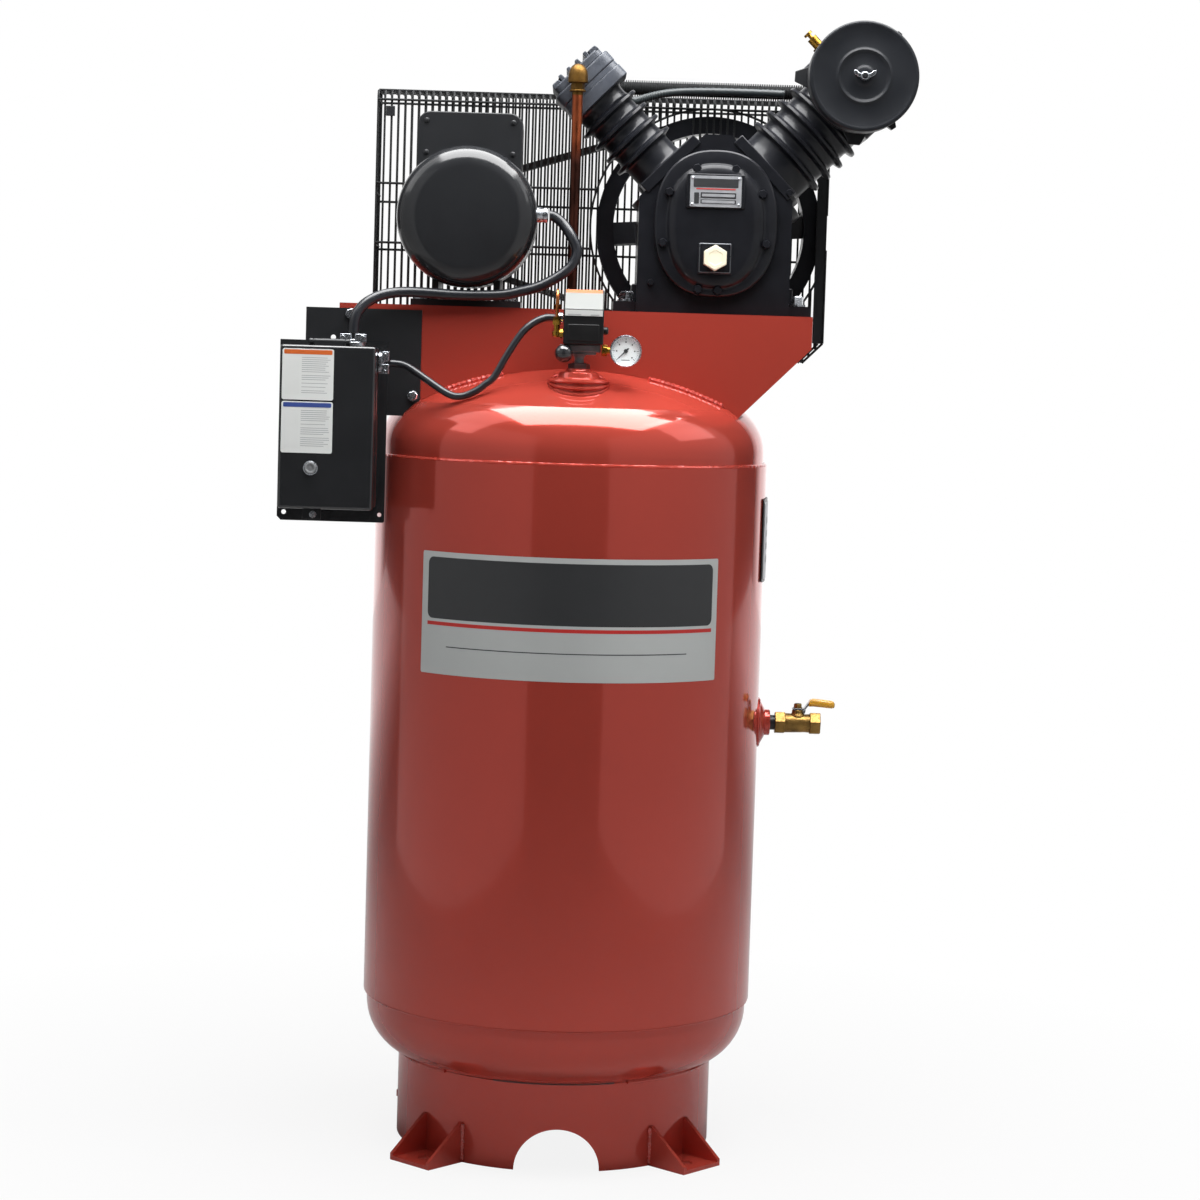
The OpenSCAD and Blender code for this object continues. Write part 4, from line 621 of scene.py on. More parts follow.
# Wire guard: hairpin uprights over the top, long wires across them
GUARD_X0, GUARD_X1, GUARD_Z0, GUARD_Z1 = -0.325, 0.396, 1.2305, 1.6425
GUARD_YF, GUARD_YB = 0.124, 0.2135
WIRE_R, WIRE_PITCH, WIRE_TURN, GUARD_CUT = 0.0019, 0.011, 0.009, 0.032
SHORTEST_WIRE = 0.006
GUARD_HOLES = ((CRANK.x, CRANK.z, 0.19), (MOTOR.x, MOTOR.z, 0.084))


def guard_gaps(fixed, along_x):
    """Stretches that the two wheel holes take out of a front wire."""
    out = []
    for hx, hz, hr in GUARD_HOLES:
        off = fixed - (hz if along_x else hx)
        if abs(off) < hr:
            half = math.sqrt(hr * hr - off * off)
            mid = hx if along_x else hz
            out.append((mid - half, mid + half))
    return sorted(out)


def kept_spans(low, high, gaps):
    spans, at = [], low
    for a, b in gaps:
        if a > at:
            spans.append((at, min(a, high)))
        at = max(at, b)
    if at < high:
        spans.append((at, high))
    return [s for s in spans if s[1] - s[0] > SHORTEST_WIRE]


def upright_foot(x):
    """Lower end of an upright, raised where the guard's corners are cut."""
    return GUARD_Z0 + max(0.0, GUARD_CUT - (x - GUARD_X0), GUARD_CUT - (GUARD_X1 - x))


def hairpin(x, low, back_x):
    """Upright that bends over the guard's top and runs down behind."""
    z = GUARD_Z1 - WIRE_TURN
    over = arc(GUARD_YF + WIRE_TURN, z, WIRE_TURN, 180, 90, 3)
    down = arc(GUARD_YB - WIRE_TURN, z, WIRE_TURN, 90, 0, 3)
    path = [(x, GUARD_YF, low)] + [(x, *p) for p in over] + [(back_x, *p) for p in down]
    return path + [(back_x, GUARD_YB, upright_foot(back_x))]


def make_guard():
    wires = Build()

    def wire(*points, **more):
        wires.tube(points, WIRE_R, 6, **more)

    count = round((GUARD_X1 - GUARD_X0) / WIRE_PITCH)
    for i in range(count + 1):
        x = GUARD_X0 + (GUARD_X1 - GUARD_X0) * i / count
        spans = kept_spans(upright_foot(x), GUARD_Z1 - 0.012, guard_gaps(x, False))
        for low, high in spans[:-1]:
            wire((x, GUARD_YF, low), (x, GUARD_YF, high))
        back = min(x + WIRE_PITCH * 0.45, GUARD_X1)
        wire(*hairpin(x, spans[-1][0], back), up=(1, 0, 0.01))
    front, rear, top = GUARD_YF - 2 * WIRE_R, GUARD_YB + 2 * WIRE_R, GUARD_Z1 + WIRE_R
    foot, end = GUARD_Z0 + 0.004, GUARD_CUT - 0.004
    for z, cut in ((1.628, 0), (1.496, 0), (1.402, 0), (foot, end)):
        for a, b in kept_spans(GUARD_X0 + cut, GUARD_X1 - cut, guard_gaps(z, True)):
            wire((a, front, z), (b, front, z))
    for z, cut in ((1.63, 0), (1.471, 0), (1.394, 0), (1.3, 0), (foot, end)):
        wire((GUARD_X0 + cut, rear, z), (GUARD_X1 - cut, rear, z))
    for y in (0.14, 0.168, 0.197):
        wire((GUARD_X0, y, top), (GUARD_X1, y, top))
    shoulder = GUARD_Z0 + GUARD_CUT
    for x in (GUARD_X0, GUARD_X1):
        for y in (0.142, 0.16, 0.178, 0.196):
            wire((x, y, shoulder), (x, y, GUARD_Z1))
        for z in (1.628, 1.48, 1.398, 1.3):
            wire((x, GUARD_YF, z), (x, GUARD_YB, z))
        inner = GUARD_CUT * (1 if x < 0 else -1)
        for y in (GUARD_YF, GUARD_YB):
            wire((x, y, shoulder), (x + inner, y, GUARD_Z0))
    for hx, hz, hr in GUARD_HOLES:
        ring = [(x, front, z) for x, z in circle(hx, hz, hr, 96)]
        kept = [p for p in ring if GUARD_Z0 < p[2] < GUARD_Z1 and p[0] < GUARD_X1]
        wire(*kept, closed=len(kept) == len(ring), up=(0, 0.02, 1))
    guard = wires.obj("guard_wires", "wire", "black_paint")
    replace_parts(guard, "guard_back")
    irons = Build()
    irons.box((GUARD_X1 - 0.017, GUARD_YF - 0.0055, shoulder), (GUARD_X1, GUARD_YF - 0.0022, GUARD_Z1))
    irons.box((GUARD_X1 - 0.003, GUARD_YF - 0.0055, shoulder), (GUARD_X1, GUARD_YF + 0.016, GUARD_Z1))
    for x in (-0.3, 0.27):
        irons.box((x, 0.1152, 1.2635), (x + 0.03, 0.1218, 1.2875))
    irons.box((-0.312, GUARD_YF - 0.005, 1.602), (-0.298, GUARD_YF - 0.001, 1.618))
    plate = bevel(irons.obj("guard_irons", "black", "black_paint"), 0.8)
    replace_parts(plate, "guard_front")


make_guard()

# Tank trim: weld beads, panel, data plate
SKIRT_R = 0.2475
SKIRT_Z = TANGENT_LOW - dome_rise(0.247)
FOOT_TURNS = (45, 135, 225, 315)
BACK_SEAM = math.radians(102)


def bead(build, path, r, seed, up=UP, closed=False, lift=0.25, end=None):
    """Weld bead with a rippled crown; end is the radius at its ends."""
    rng = random.Random(seed)
    radii = [r * (1 + lift * math.sin(k * 1.9) * 0.5 + rng.uniform(-0.12, 0.12)) for k in range(len(path))]
    if end:
        radii[0] = radii[-1] = end
    build.tube(path, r, 8, closed, radii=radii, up=up)


def ring_path(radius, z, a0=0.0, a1=360.0, step=0.9):
    """Level arc round the tank; a full turn leaves out its last point."""
    pts = arc(0, 0, radius, a0, a1, max(8, int((a1 - a0) / step)))
    return [(x, y, z) for x, y in (pts[:-1] if a1 - a0 >= 360 else pts)]


def make_welds():
    joints = Build()
    for z, seed in ((SEAM_HIGH + 0.0012, 1), (SEAM_LOW - 0.0012, 2)):
        bead(joints, ring_path(TANK_R - 0.0032, z), 0.0026, seed, closed=True)
    bead(joints, ring_path(SKIRT_R, SKIRT_Z, -63, 228), 0.0035, 3)
    x, y = (TANK_R - 0.0012) * math.cos(BACK_SEAM), (TANK_R - 0.0012) * math.sin(BACK_SEAM)
    seam = [(x, y, SEAM_LOW + (SEAM_HIGH - SEAM_LOW) * k / 260) for k in range(261)]
    bead(joints, seam, 0.0028, 4, RIGHT)
    cx, cy = 0.185 * math.sin(TANK_TURN), -0.185
    ring = circle(cx, cy, 0.044, 60)
    bead(joints, [(x, y, dome_z(x, y) + 0.0005) for x, y in ring], 0.003, 5, closed=True)
    pad_top = dome_z(0, cy) + 0.004
    for share in (0.45, 0.9):
        path = []
        for x, y in ring:
            skin = dome_z(x, y)
            path.append((x, y, skin + (pad_top - skin) * share if skin < pad_top else pad_top - 0.006))
        joints.tube(path, 0.003, 8, True, up=UP)
    ring = circle(0, 0, 0.036, 60)
    outlet = [(math.sqrt(TANK_R ** 2 - y * y) + 0.0006, y, OUTLET_Z + z) for y, z in ring]
    bead(joints, outlet, 0.003, 6, RIGHT, True)
    joints.obj("weld_seams", "red", "red_paint")
    # Dark line in the front stretch of the skirt joint: a painted shadow of the gap between skirt and head
    gap_shadow = Build().tube(ring_path(SKIRT_R - 0.0007, SKIRT_Z, 248.5, 292), 0.0014, 8, up=UP)
    gap_shadow.obj("skirt_gap_shadow", "ink", "red_paint")
    # Stitch welds take the lighter red, a painted highlight on their crowns
    stitches = Build()
    for side in (-1, 1):
        y = side * 0.1155
        for a, b, seed in ((-0.2, -0.108, 7), (0.112, 0.228, 8)):
            n = int((b - a) / 0.0022)
            xs = [a + (b - a) * k / n for k in range(n + 1)]
            path = [(x, y + side * 0.001, dome_z(x, y) + 0.0012) for x in xs]
            bead(stitches, path, 0.0036, seed, lift=0.45, end=0.0015)
    for turn in FOOT_TURNS:
        a = math.radians(turn) + TANK_TURN
        for side in (-1, 1):
            at = a + side * 0.0425 / 0.247
            x, y = (SKIRT_R + 0.001) * math.cos(at), (SKIRT_R + 0.001) * math.sin(at)
            path = [(x, y, 0.004 + 0.055 * k / 20) for k in range(21)]
            bead(stitches, path, 0.0028, turn + side, (math.cos(a), math.sin(a), 0))
    stitches.obj("weld_stitches", "red_weld", "red_paint")


def curved_panel(name, a0, a1, z0, z1, radius, look, corner=0.0, steps=48, depth=0.0002):
    """Thin film on the shell, with round corners; angles in degrees from the front, to the right."""
    half_w = math.radians(a1 - a0) / 2 * radius
    us = set(-half_w + 2 * half_w * k / steps for k in range(steps + 1))
    if corner:
        for k in range(7):
            u = half_w - corner + corner * math.sin(math.radians(15 * k))
            us |= {u, -u}
    rings = []
    mid = math.radians((a0 + a1) / 2)
    for u in sorted(us):
        trim = 0.0
        over = abs(u) - (half_w - corner)
        if corner and over > 0:
            trim = corner - math.sqrt(max(0.0, corner ** 2 - over ** 2))
        a = mid + u / radius
        section = rect(radius, radius + depth, z0 + trim, z1 - trim)
        rings.append([(r * math.sin(a), -r * math.cos(a), z) for r, z in section])
    new_mesh(name, *loft(rings), look, "red_paint")


def make_panel():
    film, ink = TANK_R - 0.00016, 0.00004
    curved_panel("shell_panel", -45.5, 47.3, 0.751, 0.934, film, "silver", 0.003, 240)
    film += 0.0002
    curved_panel("shell_panel_band", -43.2, 45.2, 0.834, 0.926, film, "ink", 0.01, 240, ink)
    curved_panel("shell_panel_stripe", -43.2, 45.2, 0.824, 0.8295, film, "red_ink", 0.0, 240, ink)
    curved_panel("shell_panel_rule", -36.0, 36.0, 0.792, 0.7935, film, "ink", 0.0, 240, ink)
    r = TANK_R + 0.0012
    curved_panel("data_plate_back", 76, 106, 0.89, 1.019, r, "black", 0.004, 16, 0.0018)
    curved_panel("data_plate", 77, 105, 0.895, 1.014, r + 0.0019, "plate", 0.003, 16, 0.0008)
    r += 0.0027
    for k, z in enumerate((0.985, 0.965, 0.945, 0.925)):
        curved_panel("data_plate_field_%d" % k, 80, 102, z - 0.005, z + 0.005, r, "ink_grey", 0.001, 12)


make_welds()
make_panel()


# Pump: castings with soft edges, fins, bolts, plates and cooler
S45 = math.sqrt(0.5)
SMALL = frame_of((S45, 0, S45), BACK, (-S45, 0, S45), (CRANK.x, -0.012, CRANK.z))
LARGE = frame_of((S45, 0, -S45), BACK, (S45, 0, S45), (CRANK.x, 0.012, CRANK.z))
DECK_D, PLATE_D, HEAD_D, HEAD_TOP = 0.1096, 0.2796, 0.2876, 0.3276
HEADS = (("small", SMALL, 0.034, 0.053, 0.06, 0.007), ("large", LARGE, 0.052, 0.073, 0.074, -0.007))
HEAD_LOOK = {"small": "cast_grey", "large": "cast"}
COVER_Y = -0.1011
RIB_PITCH, RIB_MARGIN = 0.016, 0.0035
FIN_COUNT, FIN_PITCH = 4, 0.025375
COOLER_PITCH = 0.0036
BOLT_TURN = 0.3


def hex_bolt(build, place, axis, flats, height, washer=0.0, washer_t=0.0015):
    """Chamfered hexagon head on an optional washer."""
    m = spin_to(axis, place)
    low = 0.0
    if washer:
        build.lathe([(0, 0), (washer, 0), (washer, washer_t), (0, washer_t)], m, 24)
        low = washer_t
    levels = ((1.0, low), (1.0, low + height * 0.8), (0.86, low + height))
    rings = [[(x, y, h) for x, y in hex_points(flats, BOLT_TURN, scale)] for scale, h in levels]
    build.add(*loft(rings), m)


def fin_profile(bore, barrel):
    """Half section of a finned barrel: stepped foot, blunt fins with deep fillets, flared neck."""
    deck, neck = DECK_D + 0.0001, PLATE_D - 0.0195
    foot = mm((6, 0), (6, 10.5), (5.2, 11.8), (2.6, 12.6), (0.7, 14.5), (0, 18))
    pts = [(bore, deck)] + [(barrel + r, deck + h) for r, h in foot]
    half = mm((0, 9.2), (0.6, 6.4), (2.2, 4.8), (5, 3.8), (11.2, 2.6), (12, 1.9))
    for i in range(FIN_COUNT):
        h = deck + 0.0485 + i * FIN_PITCH
        pts += [(barrel + r, h - t) for r, t in half] + [(barrel + r, h + t) for r, t in reversed(half)]
    flare = mm((0, 9), (1, 5), (3.5, 1.5), (5, 0))
    return pts + [(barrel + r, neck - h) for r, h in flare] + [(bore, neck), (bore, deck)]


def make_cylinders():
    """Finned barrels, their square top flanges and the valve plates on them."""
    plates = Build()
    for name, m, bore, hx, hy, shift in HEADS:
        fins = Build().lathe(fin_profile(bore, bore + 0.007), m, 96)
        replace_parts(fins.obj(name + "_cylinder_fins", "cast", "cast_black"), name + "_cylinder")
        outline = round_rect(2 * hx, 2 * hy, 0.018, cx=shift)
        flange = Build().prism(outline, PLATE_D - 0.02, PLATE_D - 0.0003, m)
        flange = bevel(flange.obj(name + "_flange", HEAD_LOOK[name], "cast_black"), 1.5, 3)
        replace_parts(flange, name + "_cylinder")
        outline = round_rect(2 * hx - 0.0024, 2 * hy - 0.0024, 0.018, cx=shift)
        plates.prism(outline, PLATE_D, HEAD_D - 0.0003, m)
    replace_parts(plates.obj("valve_plate_pair", "cast_grey", "steel"), "valve_plates")


def rib_section(x, wide, top):
    """Rounded rib standing on the crown of a head."""
    half = [(1.0, HEAD_TOP - 0.012), (0.9, top - 0.0022), (0.75, top - 0.0005), (0.5, top)]
    return [(x + wide * k, z) for k, z in half] + [(x - wide * k, z) for k, z in reversed(half)]


def make_heads():
    """Heads with round ribs from front to back over the crown and bolts between them."""
    for name, m, _, hx, hy, shift in HEADS:
        look = HEAD_LOOK[name]
        crown = hx - 0.007
        b = Build().prism(round_rect(2 * hx, 2 * hy, 0.018, cx=shift), HEAD_D, HEAD_D + 0.0195, m)
        b.prism(round_rect(2 * crown, 2 * hy - 0.002, 0.012, cx=shift), HEAD_D + 0.018, HEAD_TOP - 0.009, m)
        if name == "large":
            port = m @ spin_to(RIGHT, (shift - hx + 0.0002, -hy / 3, HEAD_D + 0.02))
            b.lathe(mm((0, 0), (13, 0), (13, 12), (0, 12)), port, 32)
        body = bevel(b.obj(name + "_head_casting", look, "cast_black"), 2.4, 3)
        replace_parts(body, name + "_head")
        ribs, bolts = Build(), Build()
        count = int(2 * (crown - RIB_MARGIN) / RIB_PITCH)
        step = 2 * (crown - RIB_MARGIN) / count
        along = m @ facing((0, 0, 0))
        for i in range(count + 1):
            x = shift - crown + RIB_MARGIN + i * step
            wide, drop = 0.0036, 0.0002
            if i in (0, count):
                x += 0.0045 if i == 0 else -0.0045
                wide, drop = 0.0078, 0.0036
            ribs.prism(rib_section(x, wide, HEAD_TOP - drop), 0.003 - hy, hy - 0.003, along)
            if i < count and i % 2 == 0:
                for y in (-hy + 0.016, hy - 0.016):
                    place = m @ Vector((x + step / 2, y, HEAD_TOP - 0.0092))
                    hex_bolt(bolts, place, m.to_3x3() @ Vector(UP), 0.0085, 0.006)
        bevel(ribs.obj(name + "_head_ribs", look, "cast_black"), 1.0, 2, 60)
        bolts.obj(name + "_head_bolts", "cast", "cast_black")


def oval(hw, top, low, y, n=72, power=2.35):
    """Ring of the cover: a superellipse with its own heights above and below the crank."""
    pts = []
    for c, s in circle(0, 0, 1, n):
        x = hw * math.copysign(abs(c) ** (2 / power), c)
        z = (top if s > 0 else low) * math.copysign(abs(s) ** (2 / power), s)
        pts.append((CRANK.x + x, y, CRANK.z + z))
    return pts


def make_cover():
    """Front cover: oval flange with a soft drum, name boss and filler plate."""
    stations = mm((94, 111, 112, 16), (94, 111, 112, 4), (92.8, 109.8, 110.8, 1.2), (90, 107, 108, 0),
                  (78, 95, 103, 0), (74.5, 90.5, 100, -0.6))
    for k in range(1, 9):
        a = math.radians(90 * k / 8)
        inn = 0.02 * (1 - math.cos(a))
        stations.append((0.0735 - inn, 0.089 - inn, 0.0985 - inn, -0.0006 - 0.0095 * math.sin(a)))
    stations += [(0.03, 0.04, 0.045, -0.0107), (0.006, 0.008, 0.009, -0.011)]
    cover = Build().add(*loft([oval(hw, top, low, COVER_Y + y) for hw, top, low, y in stations]))
    m = facing((CRANK.x - 0.002, COVER_Y, CRANK.z))
    cover.prism(rect(-0.044, 0.044, 0.0215, 0.0735), 0.0, 0.0135, m)
    cover.prism(rect(-0.024, 0.028, -0.078, -0.031), 0.0, 0.0125, m)
    body = bevel(cover.obj("cover_casting", "cast", "cast_black"), 1.6, 3, 40)
    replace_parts(body, "crankcase_cover")


def make_name_plate():
    """Blank etched plate with a frame, rivets, a coloured line and two fields."""
    m = facing((CRANK.x - 0.002, COVER_Y - 0.0135, CRANK.z + 0.047))
    Build().prism(round_rect(0.078, 0.047, 0.002), 0, 0.0012, m).obj("pump_plate", "plate", "zinc")
    fields = ((0, 0.0125, 0.068, 0.013, "ink"), (0, 0.0035, 0.06, 0.0016, "red_ink"),
              (0.004, -0.006, 0.054, 0.0085, "ink"), (0.004, -0.0155, 0.054, 0.006, "ink"),
              (-0.029, -0.0105, 0.0075, 0.0165, "ink"))
    blanks = ((0.004, -0.006, 0.05, 0.0042, "plate"), (0.004, -0.0155, 0.05, 0.0042, "plate"))
    for tag, group, low, high in (("field", fields, 0.0012, 0.0016), ("blank", blanks, 0.0016, 0.0019)):
        for k, (x, z, w, h, look) in enumerate(group):
            patch = Build().prism(round_rect(w, h, 0.0007, 2, x, z), low, high, m)
            patch.obj("pump_plate_%s_%d" % (tag, k), look, "zinc")
    rivets = Build()
    for x in (-0.0352, 0.0352):
        for z in (-0.0198, 0.0198):
            rivets.lathe(mm((0, 2.8), (1.2, 2.6), (2.1, 1.8), (2.4, 1), (0, 1)),
                         m @ Matrix.Translation((x, z, 0)), 16)
    rivets.obj("pump_plate_rivets", "zinc", "zinc")


def make_filler():
    """Bright-edged gasket plate and a large hexagon plug."""
    m = facing((CRANK.x, COVER_Y - 0.0126, CRANK.z - 0.0535))
    rim = Build().prism(round_rect(0.0485, 0.0445, 0.0015), 0, 0.0016, m)
    bevel(rim.obj("filler_gasket", "steel", "steel"), 0.4)
    face = Build().prism(round_rect(0.0455, 0.0415, 0.0015), 0.0016, 0.0021, m)
    face.obj("filler_face", "cast", "cast_black")
    levels = ((1.0, 0.0022), (1.0, 0.015), (0.985, 0.0162), (0.93, 0.0172), (0.62, 0.0174), (0.58, 0.0166))
    rings = [[(x, y, h) for x, y in hex_points(0.0345, math.pi / 6, scale)] for scale, h in levels]
    plug = bevel(Build().add(*loft(rings), m).obj("filler_plug", "cream", "plug_plastic"), 0.8, 3, 25)
    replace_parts(plug, "oil_plug")


def make_case_trim():
    """Deck lips and side bosses that the plain case lacks, and the cover's bolts."""
    b = Build()
    decks = ((SMALL, 0.074, -0.043, 0.068, 0.012), (LARGE, 0.086, -0.07, 0.05, -0.012))
    for m, reach, low, high, y in decks:
        b.box((low, y - 0.0885, DECK_D - 0.0055), (high, y + 0.0765, DECK_D + 0.0122), m)
        b.lathe([(0, DECK_D - 0.026), (reach - 0.01, DECK_D - 0.026), (reach - 0.003, DECK_D - 0.012),
                 (reach - 0.003, DECK_D - 0.0005), (0, DECK_D - 0.0005)], m, 64)
    for x in (CRANK.x - 0.117, CRANK.x + 0.117):
        b.box((x - 0.007, -0.06, 1.3172), (x + 0.007, 0.05, 1.344))
    bevel(b.obj("case_lips", "cast", "cast_black"), 2.0, 3)
    case = Build()
    hex_bolt(case, (CRANK.x + 0.112, -0.0853, CRANK.z + 0.05), FRONT, 0.01, 0.006)
    hex_bolt(case, (CRANK.x - 0.096, -0.0853, CRANK.z - 0.092), FRONT, 0.009, 0.005)
    for x, z in ((-31, 82), (28, 82), (-72, 45), (70, 46), (-80, -32), (78, -30), (-24, -101), (6, -102)):
        place = (CRANK.x + x * MM, COVER_Y - 0.0002, CRANK.z + z * MM)
        hex_bolt(case, place, FRONT, 0.0118, 0.0065, 0.0082)
    case.obj("cover_bolts", "cast", "cast_black")


def make_bolts():
    """Bright bolts of the pump, motor and bracket."""
    b = Build()
    for sx in (-1, 1):
        for y in (-0.053, 0.043):
            hex_bolt(b, (CRANK.x + sx * 0.13, y, PLATE_Z + 0.0163), UP, 0.021, 0.0125, 0.015, 0.003)
    for sx in (-1, 1):
        for y in (-0.07, 0.034):
            hex_bolt(b, (MOTOR.x + sx * 0.066, y, PLATE_Z + 0.0103), UP, 0.017, 0.01, 0.0125, 0.0025)
    for x, z in ((-342, -16), (-245, -138)):
        hex_bolt(b, (x * MM, -0.1184, PLATE_Z + z * MM), FRONT, 0.013, 0.005, 0.0085)
    bolts = b.obj("bright_bolts", "zinc", "zinc")
    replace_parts(bolts, "fasteners")


def make_cooler():
    """Finely finned tube behind the heads, with a smooth hose beneath it."""
    dx, y, z = 0.20336, 0.104, CRANK.z + 0.21751
    m = frame_of((0, 0, -1), BACK, RIGHT, (CRANK.x - dx - 0.009, y, z))
    length = 2 * dx + 0.018
    prof = mm((0, 0), (7, 0), (9, 2), (9, 30))
    for i in range(int((length - 0.064) / COOLER_PITCH)):
        h = 0.032 + i * COOLER_PITCH
        prof += [(0.01, h), (0.013, h + 0.0003), (0.013, h + 0.0019), (0.01, h + 0.0022)]
    prof += [(0.009, length - 0.03), (0.009, length - 0.002), (0.007, length), (0, length)]
    b = Build().lathe(prof, m, 28)
    for x, start in ((CRANK.x - dx, -0.012 + 0.0601), (CRANK.x + dx, 0.012 + 0.0741)):
        b.tube([(x, start, z), (x, y, z)], 0.008, 14, up=UP)
    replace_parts(b.obj("finned_cooler", "cooler", "cast_black"), "intercooler")
    route = mm((76, 50, 1630), (86, 60, 1633.5), (104, 72, 1640.5), (130, 80, 1647.5), (165, 82.5, 1651.5),
               (220, 82.5, 1653), (280, 82.5, 1653), (318, 81.5, 1652.5))
    hose = smooth_path(route, 12)
    ridges = [0.0066 if k % 2 else 0.0058 for k in range(len(hose))]
    Build().tube(hose, 0.0062, 14, radii=ridges, up=UP).obj("breather_hose", "hose", "cable")


make_cylinders()
make_heads()
make_cover()
make_name_plate()
make_filler()
make_case_trim()
make_bolts()
make_cooler()


# Motor: dished bell and conduit box
def make_motor():
    front, back, edge, r = 0.15, 0.096, 0.033, 0.107
    m = spin_to(FRONT, (MOTOR.x, 0, MOTOR.z))
    prof = [(0, front)] + arc(r - edge, front - edge, edge, 90, 0, 12)
    prof += [(r, back + 0.002), (r - 0.0012, back), (r - 0.006, back), (r - 0.006, front - edge),
             (r - edge, front - 0.006), (0, front - 0.006)]
    bell = Build().lathe(prof, m, 128)
    bell.lathe([(0.03, front - 0.005), (0.042, front - 0.005), (0.042, back - 0.004),
                (0.0355, back - 0.004), (0.0355, front - 0.0255), (0.03, front - 0.0255),
                (0.03, front - 0.005)], m, 64)
    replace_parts(bell.obj("motor_bell", "bell", "black_paint"), "motor_front_bell")
    w, top, corner = 0.08, 0.16, 0.02
    outline = [(-w, 0.06), (w, 0.06)]
    outline += arc(w - corner, top - corner, corner, 0, 90, 8)
    outline += arc(corner - w, top - corner, corner, 90, 180, 8)
    face = facing((MOTOR.x, 0, MOTOR.z))
    box = Build().prism(outline, -0.026, 0.084, face)
    box.prism([(x * 1.012, z + (0.001 if z > 0.1 else 0)) for x, z in outline], 0.06, 0.064, face)
    shell = bevel(box.obj("conduit_shell", "black", "black_paint"), 3.0, 4, 40)
    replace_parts(shell, "conduit_box")
    screws = Build()
    for x in (-0.066, 0.066):
        for z in (0.098, 0.146):
            screws.lathe(mm((0, 3.2), (2, 3), (3.8, 1.8), (4.2, 0), (0, 0)),
                         face @ Matrix.Translation((x, z, 0.0839)), 18)
    screws.obj("conduit_screws", "black", "black_paint")


# Filter canister with a rolled rim, embossed lid and clips
FILTER = Vector((0.42056, -0.086, 1.66096))
NUT = Vector((FILTER.x, -0.1641, FILTER.z))
LID = mm(
    (82.3, 48.2), (82.3, 75.2), (81.6, 77), (80.2, 78), (77.6, 78.2), (76, 77.8), (74.5, 77.2),
    (44, 77), (42.4, 77.4), (40.8, 78.6), (39.4, 79.3), (38, 79), (36.6, 77.8), (35, 76.6),
    (33, 76.3), (17.5, 76.3), (16, 76.8), (14, 78.2), (12, 79.1), (10, 79.4), (4.3, 79.4),
    (4.3, 74.8), (78, 74.8), (80, 73.6), (80.4, 48.2), (82.3, 48.2),
)
CAN = mm(
    (0, 0), (74, 0), (78, 1.2), (79.5, 4.5), (79.5, 20), (81.2, 22.5), (82, 26), (81.2, 30),
    (79.7, 31.8), (79.7, 42), (81.5, 43.6), (81.5, 47.4), (79.7, 47.8), (79.7, 73), (78, 73),
    (78, 2), (0, 2),
)
WING = mm(
    (4.5, -3), (10, -1.6), (14.5, 1.4), (16.8, 5), (17, 7.6), (15, 8.6), (12.2, 7.6), (9.5, 4.6),
    (4.5, 3.4),
)


def make_filter():
    m = spin_to(FRONT, FILTER)
    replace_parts(Build().lathe(LID, m, 128).obj("filter_lid", "filter", "black_paint"), "filter_cover")
    can = Build().lathe(CAN, m, 128)
    can.lathe(rect(0.014, 0.017, -0.0238, 0.001) + [(0.014, -0.0238)], m, 48)
    can.lathe(mm((0, 2), (4, 2), (4, 88.8), (3.2, 89.9), (0, 89.9)), m, 24)
    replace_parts(can.obj("filter_can", "black", "black_paint"), "filter_housing")
    # Light grey ring at the rim: a grey gasket whose paler colour also carries a painted highlight of the
    # rolled rim
    band = Build().lathe(mm((79.8, 44), (81.7, 44), (82.2, 45.2), (82.2, 47), (81.7, 48.1), (79.8, 48.1),
                            (79.8, 44)), m, 128)
    band.obj("filter_band_highlight", "grey", "black_paint")
    clips = Build()
    for deg, reach, half, low, high in ((-56, 0.0895, 0.0055, 0.034, 0.05), (-93, 0.097, 0.012, 0.0, 0.004),
                                        (178, 0.099, 0.011, 0.0, 0.004), (52, 0.088, 0.0055, 0.034, 0.05)):
        c, s = math.cos(math.radians(deg)), math.sin(math.radians(deg))
        shape = [(0.078, -half * 1.5), (reach, -half * 0.7), (reach, half * 0.7), (0.078, half * 1.5)]
        clips.prism(shape, low, high, frame_of((c, 0, s), (-s, 0, c), FRONT, FILTER))
    bevel(clips.obj("filter_clips", "black", "black_paint"), 1.0)
    nut = Build().lathe(mm((4.2, 0.2), (7.8, 0.2), (7.8, 1.8), (7, 3), (6.2, 7.5), (5.5, 8.8), (4.2, 9),
                           (4.2, 0.2)), spin_to(FRONT, NUT), 32)
    nut.prism(WING, 0.0028, 0.0066, facing(NUT))
    nut.prism(WING, -0.0066, -0.0028, frame_of((-1, 0, 0), UP, BACK, NUT))
    wings = bevel(nut.obj("wing_nut_casting", "zinc", "zinc", "filter_nut"), 0.6, 2, 40)
    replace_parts(wings, "wing_nut")


# Discharge: acorn elbow over the riser
ELBOW = Vector((-0.008, -0.092, 1.6495))
ACORN = mm(
    (0, 23.3), (4.5, 22.6), (8.5, 20.5), (11.5, 17), (13.6, 12.2), (14.8, 6.2), (15.3, -2),
    (15.3, -4.8), (14.6, -5.6), (8.2, -5.6), (8.2, -16), (12.2, -16.4), (12.6, -17.6),
    (12.2, -18.8), (8.4, -19.2), (8.4, -24), (0, -24),
)


def make_discharge():
    m = Matrix.Translation(ELBOW)
    elbow = Build().lathe(ACORN, m, 56).prism(hex_points(0.0185, 0.2), -0.0152, -0.0058, m)
    elbow.tube([ELBOW, (ELBOW.x, -0.0722, ELBOW.z)], 0.0108, 24, up=UP)
    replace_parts(elbow.obj("acorn_elbow", "brass_dark", "brass"), "discharge_elbow")


make_motor()
make_filter()
make_discharge()


